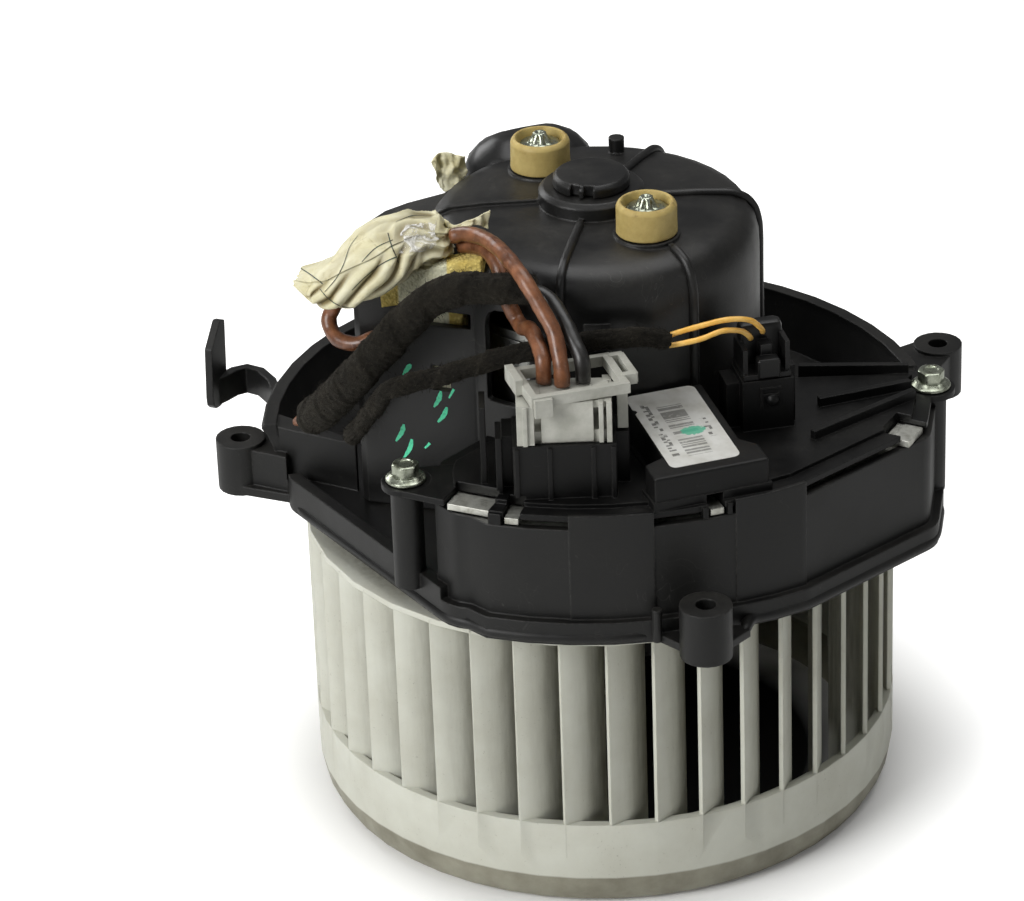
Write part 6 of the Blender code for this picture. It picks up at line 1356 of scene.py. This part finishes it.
def strokesOn(name, trees, strokes, material, lift):
    # paint or print: thin ribbons laid on the surface along picture lines
    bm = bmesh.new()
    for pixels, widths in strokes:
        spots = [Vector((p[0], p[1], 0)) for p in pixels]
        count = max(6, int(sum((b - a).length for a, b in zip(spots, spots[1:])) / 1.1))
        hits = []
        for i in range(count + 1):
            spot = curveAt(spots, i / count)
            hit = onSurface(trees, spot.x, spot.y)
            if hit:
                wobble = 1 + 0.25 * noise.noise(Vector((spot.x * 0.4, spot.y * 0.4, 0)))
                hits.append((*hit, curveAt(list(widths), i / count) * wobble))
        previous = None
        for i, (place, normal, wide) in enumerate(hits):
            a, b = hits[max(0, i - 1)][0], hits[min(len(hits) - 1, i + 1)][0]
            if (b - a).length > 0.004:  # the line has jumped to another surface
                previous = None
                continue
            side = (b - a).cross(normal).normalized() * max(wide, 0.00005) / 2
            pair = [bm.verts.new(place + normal * lift + side), bm.verts.new(place + normal * lift - side)]
            if previous:
                bm.faces.new((previous[0], previous[1], pair[1], pair[0]))
            previous = pair
    made = linkMesh(name, bm, material)
    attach(made, "housing")
    return made


filmPatch = {
    "corners": [(402, 228), (438, 222), (438, 248), (399, 256)],   # in the picture
    "steps": 48, "ragged": 9.0, "raggedSteps": 6, "flat": 0.0002, "rise": 0.0003, "wrinkles": (0.0009, 0.0003),
}

ruling = {
    # plain ruled lines printed on the tape, as picture lines, and their width along each
    "lines": [[(300, 268), (311, 275), (323, 284)], [(320, 289), (329, 299), (341, 306), (356, 308)],
              [(325, 292), (336, 279), (344, 264), (350, 247), (358, 236)], [(388, 233), (392, 247), (399, 263)],
              [(352, 290), (366, 276), (382, 264), (396, 257)], [(362, 262), (376, 248), (393, 240)],
              [(396, 222), (412, 216), (428, 216)]],
    "widths": (0.00022, 0.00030, 0.00026),
    "lift": 0.00012,
}


def makeFilmPatch(trees):
    # clear film: a small wrinkled patch pressed over the tape
    bm = bmesh.new()
    corners = [Vector((*corner, 0)) for corner in filmPatch["corners"]]
    steps, rows = filmPatch["steps"], []
    for i in range(steps + 1):
        row = []
        for k in range(steps + 1):
            a = corners[0].lerp(corners[1], i / steps).lerp(corners[3].lerp(corners[2], i / steps), k / steps)
            edge = min(i, k, steps - i, steps - k)
            near = max(0.0, 1 - edge / filmPatch["raggedSteps"])
            shift = Vector((noise.noise(a * 0.11), noise.noise(a * 0.13 + Vector((9, 4, 0))), 0))
            a += shift * filmPatch["ragged"] * near
            hit = onSurface(trees, a.x, a.y)
            place = hit[0] if hit else atDepth(a.x, a.y, -0.030)
            coarse, fine = filmPatch["wrinkles"]
            raised = filmPatch["rise"] + coarse * abs(noise.noise(place * 300)) + fine * abs(noise.noise(place * 700))
            row.append(bm.verts.new(place + Vector((0, -0.7, 0.7)) * (raised if edge else filmPatch["flat"])))
        rows.append(row)
    joinRows(bm, rows)
    patch = linkMesh("clearFilmPatch", bm, film)
    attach(patch, "housing")
    return patch


def makeTape():
    wrap = makeTapeWrap()
    tip = stripFrom("tapeTornTip", tape["tipTop"], tape["tipLow"], tape["tipDepths"], creamTape)
    trees = treeOf(wrap)
    patch = makeFilmPatch(trees)

    ruled = [(line, ruling["widths"]) for line in ruling["lines"]]
    strokesOn("tapeRuling", trees, ruled, tapePrint, ruling["lift"])

    scrap = stripFrom("tapeScrap", tape["scrapTop"], tape["scrapLow"], tape["scrapDepths"], creamTape, 14, 30,
                      tape["scrapCreases"])
    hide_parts("tape_scrap")
    area = sum(face.area for face in wrap.data.polygons)
    print("tape area", round(area, 5), "scrap area", round(sum(face.area for face in scrap.data.polygons), 6))


bead = {
    # the rolled lip along the flange's lower edge, in two runs that stop at the front lug
    "runs": {"Left": (-171.5, -83.5), "Right": (-69.0, -15.0)},
    "bottom": 0.0889 - shaftEnd, "radius": 0.0017, "inward": 0.0010, "stepDegrees": 1.0, "reach": 0.130,
    "taper": 0.006, "blunt": 0.0004, "easing": 3,
}


def takeCornersOff(line, times):
    for _ in range(times):
        line = [line[0]] + [(a + b * 2 + c) / 4 for a, b, c in zip(line, line[1:], line[2:])] + [line[-1]]
    return line


def roundedEnds(shape, walked, whole):
    # a bar's radius at this distance along it: it rounds off over the taper at both its ends
    ends = min(1.0, (walked + shape["blunt"]) / shape["taper"], (whole - walked + shape["blunt"]) / shape["taper"])
    return shape["radius"] * math.sqrt(max(0.02, ends * (2 - ends)))


def makeBead():
    tree = treeOf(nodes["mounting_flange"])[0]
    for name, (start, end) in bead["runs"].items():
        line = []
        count = int(abs(end - start) / bead["stepDegrees"])
        for i in range(count + 1):
            azimuth = math.radians(start + (end - start) * i / count)
            way = Vector((math.cos(azimuth), math.sin(azimuth), 0.0))
            height = Vector((0, 0, bead["bottom"] + bead["radius"]))
            place = tree.ray_cast(way * bead["reach"] + height, -way)[0]
            if place is not None:
                line.append(place - way * bead["inward"])
        line = takeCornersOff(line, bead["easing"])
        whole = lineLength(line)
        lip = tubeMesh("flangeBead" + name, line, lambda walked, _, whole=whole: roundedEnds(bead, walked, whole), 24,
                       flangePolypropylene)
        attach(lip, "housing")
        print("bead", name, round(whole, 4))


coverRibs = {
    # rounded ribs moulded on the dome: azimuth in degrees, and where each starts from the axis
    "ribs": {"Front": (-103, 0.0153), "Middle": (-56, 0.0362), "Right": (5, 0.0153), "Rear": (62, 0.0153)},
    "middle": (0.020, 0.150 - shaftEnd),   # the sight lines that find the surface meet here
    "foot": 0.1345 - shaftEnd, "reach": 0.12, "sweep": (100, 130), "sweepSteps": 120,
    "radius": 0.0012, "sunk": 0.0007, "taper": 0.0016, "blunt": 0.0003, "easing": 6,
}


def makeCoverRibs():
    tree = treeOf(nodes["motor_cover"])[0]
    for name, (azimuth, inner) in coverRibs["ribs"].items():
        way = Vector((math.cos(math.radians(azimuth)), math.sin(math.radians(azimuth)), 0.0))
        middle = way * coverRibs["middle"][0] + Vector((0, 0, coverRibs["middle"][1]))
        line = []
        start, turn = coverRibs["sweep"]
        for k in range(coverRibs["sweepSteps"] + 1):
            rise = math.radians(start - turn * k / coverRibs["sweepSteps"])
            out = way * math.cos(rise) + Vector((0, 0, math.sin(rise)))
            place = tree.ray_cast(middle + out * coverRibs["reach"], -out)[0]
            if place is None or place.dot(way) < inner or place.z < coverRibs["foot"]:
                continue
            place = place - out * coverRibs["sunk"]
            if not line or 0.0004 < (place - line[-1]).length < 0.006:
                line.append(place)
        line = takeCornersOff(line, coverRibs["easing"])
        whole = lineLength(line)
        rib = tubeMesh("coverRib" + name, line,
                       lambda walked, _, whole=whole: roundedEnds(coverRibs, walked, whole), 16, coverNylon)
        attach(rib, "housing")
        print("cover rib", name, "length", round(whole, 4))


foamPad = {
    "plan": [(-0.0565, -0.0205), (-0.0360, -0.0275), (-0.0345, -0.0225), (-0.0545, -0.0160)],
    "low": 0.1300 - shaftEnd, "high": 0.1575 - shaftEnd,
    "steps": (34, 10, 42),
    # the strip folded over the duct's front edge
    "stripSteps": (60, 40),
    "stripStart": (-0.0574, -0.0229), "stripEnd": (-0.0300, -0.0322),
    "stripTop": (0.1653 - shaftEnd, 0.1733 - shaftEnd),
    "fold": [(-0.0062, 0.0002), (-0.0060, 0.0010), (-0.0020, 0.0013), (0.0003, 0.0011), (0.0012, 0.0003),
             (0.0014, -0.0020), (0.0013, -0.0050), (0.0012, -0.0080), (0.0004, -0.0087), (-0.0006, -0.0084)],
}


def makeFoamBlock():
    bm = bmesh.new()
    plan = [Vector((x, y, 0)) for x, y in foamPad["plan"]]
    centre = (plan[0] + plan[2]) / 2 + Vector((0, 0, (foamPad["low"] + foamPad["high"]) / 2))
    grid = {}
    across, deep, tall = foamPad["steps"]
    for i in range(across + 1):
        for j in range(deep + 1):
            for k in range(tall + 1):
                if i in (0, across) or j in (0, deep) or k in (0, tall):
                    front = plan[0].lerp(plan[1], i / across)
                    back = plan[3].lerp(plan[2], i / across)
                    point = front.lerp(back, j / deep)
                    point.z = foamPad["low"] + (foamPad["high"] - foamPad["low"]) * k / tall
                    rough = 0.00035 * noise.noise(point * 700) + 0.0004 * noise.noise(point * 220) - 0.0003
                    grid[i, j, k] = bm.verts.new(point + (point - centre).normalized() * rough)

    def quad(*keys):
        bm.faces.new([grid[key] for key in keys])

    for i in range(across):
        for j in range(deep):
            quad((i, j, 0), (i, j + 1, 0), (i + 1, j + 1, 0), (i + 1, j, 0))
            quad((i, j, tall), (i + 1, j, tall), (i + 1, j + 1, tall), (i, j + 1, tall))
        for k in range(tall):
            quad((i, 0, k), (i + 1, 0, k), (i + 1, 0, k + 1), (i, 0, k + 1))
            quad((i, deep, k), (i, deep, k + 1), (i + 1, deep, k + 1), (i + 1, deep, k))
    for j in range(deep):
        for k in range(tall):
            quad((0, j, k), (0, j, k + 1), (0, j + 1, k + 1), (0, j + 1, k))
            quad((across, j, k), (across, j + 1, k), (across, j + 1, k + 1), (across, j, k + 1))
    pad = linkMesh("foamBlock", bm, foam)
    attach(pad, "housing")
    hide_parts("foam_pad")


def makeFoamStrip():
    bm = bmesh.new()
    start, end = (Vector((*foamPad[k], 0)) for k in ("stripStart", "stripEnd"))
    out = (end - start).normalized().cross(Vector((0, 0, 1)))
    rows = []
    fold = [Vector((n, z, 0)) for n, z in foamPad["fold"]]
    along, around = foamPad["stripSteps"]
    for i in range(along + 1):
        share = i / along
        base = start.lerp(end, share)
        level = foamPad["stripTop"][0] + (foamPad["stripTop"][1] - foamPad["stripTop"][0]) * share
        row = []
        for k in range(around + 1):
            spot = curveAt(fold, k / around)
            point = base + out * spot.x + Vector((0, 0, level + spot.y))
            rough = 0.0003 * noise.noise(point * 600) + 0.0005 * noise.noise(point * 170)
            row.append(bm.verts.new(point + (out + Vector((0, 0, 0.6))) * rough))
        rows.append(row)
    joinRows(bm, rows, flipped=True)
    bm.faces.new(rows[0][::-1])
    bm.faces.new(rows[-1])
    strip = linkMesh("foamStrip", bm, foam)
    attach(strip, "housing")


paint = {
    # short free dabs on the duct wall as picture lines, apart from each other and all leaning one way
    "dabs": [[(411, 364), (408, 368), (403, 375)], [(414, 381), (412, 387), (408, 393)], [(391, 380), (385, 390)],
             [(441, 391), (439, 399), (434, 407)], [(447, 407), (444, 415), (438, 422)], [(454, 389), (449, 398)],
             [(404, 424), (402, 432), (396, 441)], [(412, 439), (410, 448), (404, 458)], [(430, 443), (425, 448)]],
    "brush": (0.0006, 0.0013, 0.0011, 0.0005),   # width along a long dab
    "touch": (0.0008, 0.0005),                   # and along a short one
    "lift": 0.00010,
}


def makePaint():
    strokes = [(dab, paint["brush" if len(dab) > 2 else "touch"]) for dab in paint["dabs"]]
    strokesOn("mintStrokes", treeOf(nodes["motor_cover"]), strokes, mintPaint, paint["lift"])


makeDampers()
makeCoverScrews()
makeTape()
makeFoamBlock()
makeFoamStrip()
makePaint()
makeBead()
makeCoverRibs()
print("dampers, screws, tape, foam, paint, lip and ribs made")


studio = {
    # each lamp: (place, size, power)
    "lamps": {"key": ((-1.1, -0.9, 0.85), 0.9, 20.0), "overhead": ((0.15, 0.15, 1.35), 1.2, 10.0),
              "back": ((-0.9, 1.1, 0.75), 0.8, 6.5), "fill": ((1.2, -0.7, 0.45), 0.8, 0.8)},
    "aim": (0.0, 0.0, 0.07),
    "worldLight": 0.055,
    "glossShare": 0.12,      # how much of the white backdrop a gloss picks up
    "floor": "#F4F4F2",
    "floorHalf": 6.0,
    "floorGlow": 0.65,
    "paintedShadowGlowFade": (0.074, 0.115),      # the floor's glow grows between these distances from the axis, which leaves a painted shadow round the wheel's foot
    # painted shadow: the floor under the wheel is painted near black
    "paintedShadowUnderWheel": "#1A1A1A",
    "paintedShadowFade": (0.058, 0.0775),    # and the painted shadow in its middle, all inside the wheel's rim, ends between these
}


def makeLamp(name, place, size, power):
    data = bpy.data.lights.new(name, "AREA")
    data.shape = "DISK"
    data.size = size
    data.energy = power
    made = bpy.data.objects.new(name, data)
    made.location = place
    made.rotation_euler = (Vector(studio["aim"]) - Vector(place)).to_track_quat("-Z", "Y").to_euler()
    bpy.context.scene.collection.objects.link(made)


def makeStudio():
    for name, (place, size, power) in studio["lamps"].items():
        makeLamp(name, place, size, power)
    world = bpy.data.worlds.new("studio")
    bpy.context.scene.world = world
    world.use_nodes = True
    world.node_tree.nodes.clear()
    path = addNode(world, "ShaderNodeLightPath")
    seen = addNode(world, "ShaderNodeMath", {"operation": "MAXIMUM", "use_clamp": True}, {
        0: path["Is Camera Ray"],
        1: addNode(world, "ShaderNodeMath", {"operation": "MAXIMUM", "use_clamp": True}, {
            0: path["Is Transmission Ray"],
            1: addNode(world, "ShaderNodeMath", clampedProduct, {
                0: path["Is Glossy Ray"], 1: studio["glossShare"]})[0]})[0]})[0]
    level = addNode(world, "ShaderNodeMapRange", {}, {
        "Value": seen, "From Min": 0.0, "From Max": 1.0, "To Min": studio["worldLight"], "To Max": 1.0})[0]
    glow = addNode(world, "ShaderNodeBackground", {}, {"Color": (1.0, 1.0, 1.0, 1.0), "Strength": level})
    addNode(world, "ShaderNodeOutputWorld", {}, {"Surface": glow[0]})


def makeFloor():
    # matt pale paint, which the camera sees as white round the object and which keeps its shadow; under and round the
    # wheel a painted shadow is added
    material = newMaterial("paleFloor")
    path = addNode(material, "ShaderNodeLightPath")
    seen = addNode(material, "ShaderNodeMath", {"operation": "MAXIMUM", "use_clamp": True}, {
        0: path["Is Camera Ray"], 1: path["Is Transmission Ray"]})[0]
    # painted shadow: the floor under the wheel is painted dark, and its glow fades out near the wheel
    place = addNode(material, "ShaderNodeTexCoord")["Object"]
    flat = addNode(material, "ShaderNodeVectorMath", {"operation": "MULTIPLY"}, {
        0: place, 1: (1.0, 1.0, 0.0)})["Vector"]
    away = addNode(material, "ShaderNodeVectorMath", {"operation": "LENGTH"}, {0: flat})["Value"]
    clear = addNode(material, "ShaderNodeMapRange", {}, {
        "Value": away, "From Min": studio["paintedShadowGlowFade"][0], "From Max": studio["paintedShadowGlowFade"][1]})[0]
    shade = addNode(material, "ShaderNodeMix", colourMix, {
        0: addNode(material, "ShaderNodeMapRange", {}, {
            "Value": away, "From Min": studio["paintedShadowFade"][0], "From Max": studio["paintedShadowFade"][1]})[0],
        6: linear(studio["paintedShadowUnderWheel"]), 7: linear(studio["floor"])})[2]
    matt = addNode(material, "ShaderNodeBsdfDiffuse", {}, {"Color": shade})[0]
    glow = addNode(material, "ShaderNodeEmission", {}, {
        "Color": (1.0, 1.0, 1.0, 1.0),
        "Strength": addNode(material, "ShaderNodeMath", clampedProduct, {
            0: addNode(material, "ShaderNodeMath", clampedProduct, {
                0: seen, 1: clear})[0], 1: studio["floorGlow"]})[0]})[0]
    both = addNode(material, "ShaderNodeAddShader", {}, {0: matt, 1: glow})
    closeMaterial(material, both)
    bm = bmesh.new()
    half, low = studio["floorHalf"], cadBox[0].z
    for x, y in ((-half, -half), (half, -half), (half, half), (-half, half)):
        bm.verts.new((x, y, low))
    bm.faces.new(list(bm.verts))
    floor = linkMesh("floor", bm, material)


makeStudio()
makeFloor()
bpy.context.scene.view_settings.view_transform = "Standard"
print("studio lit")
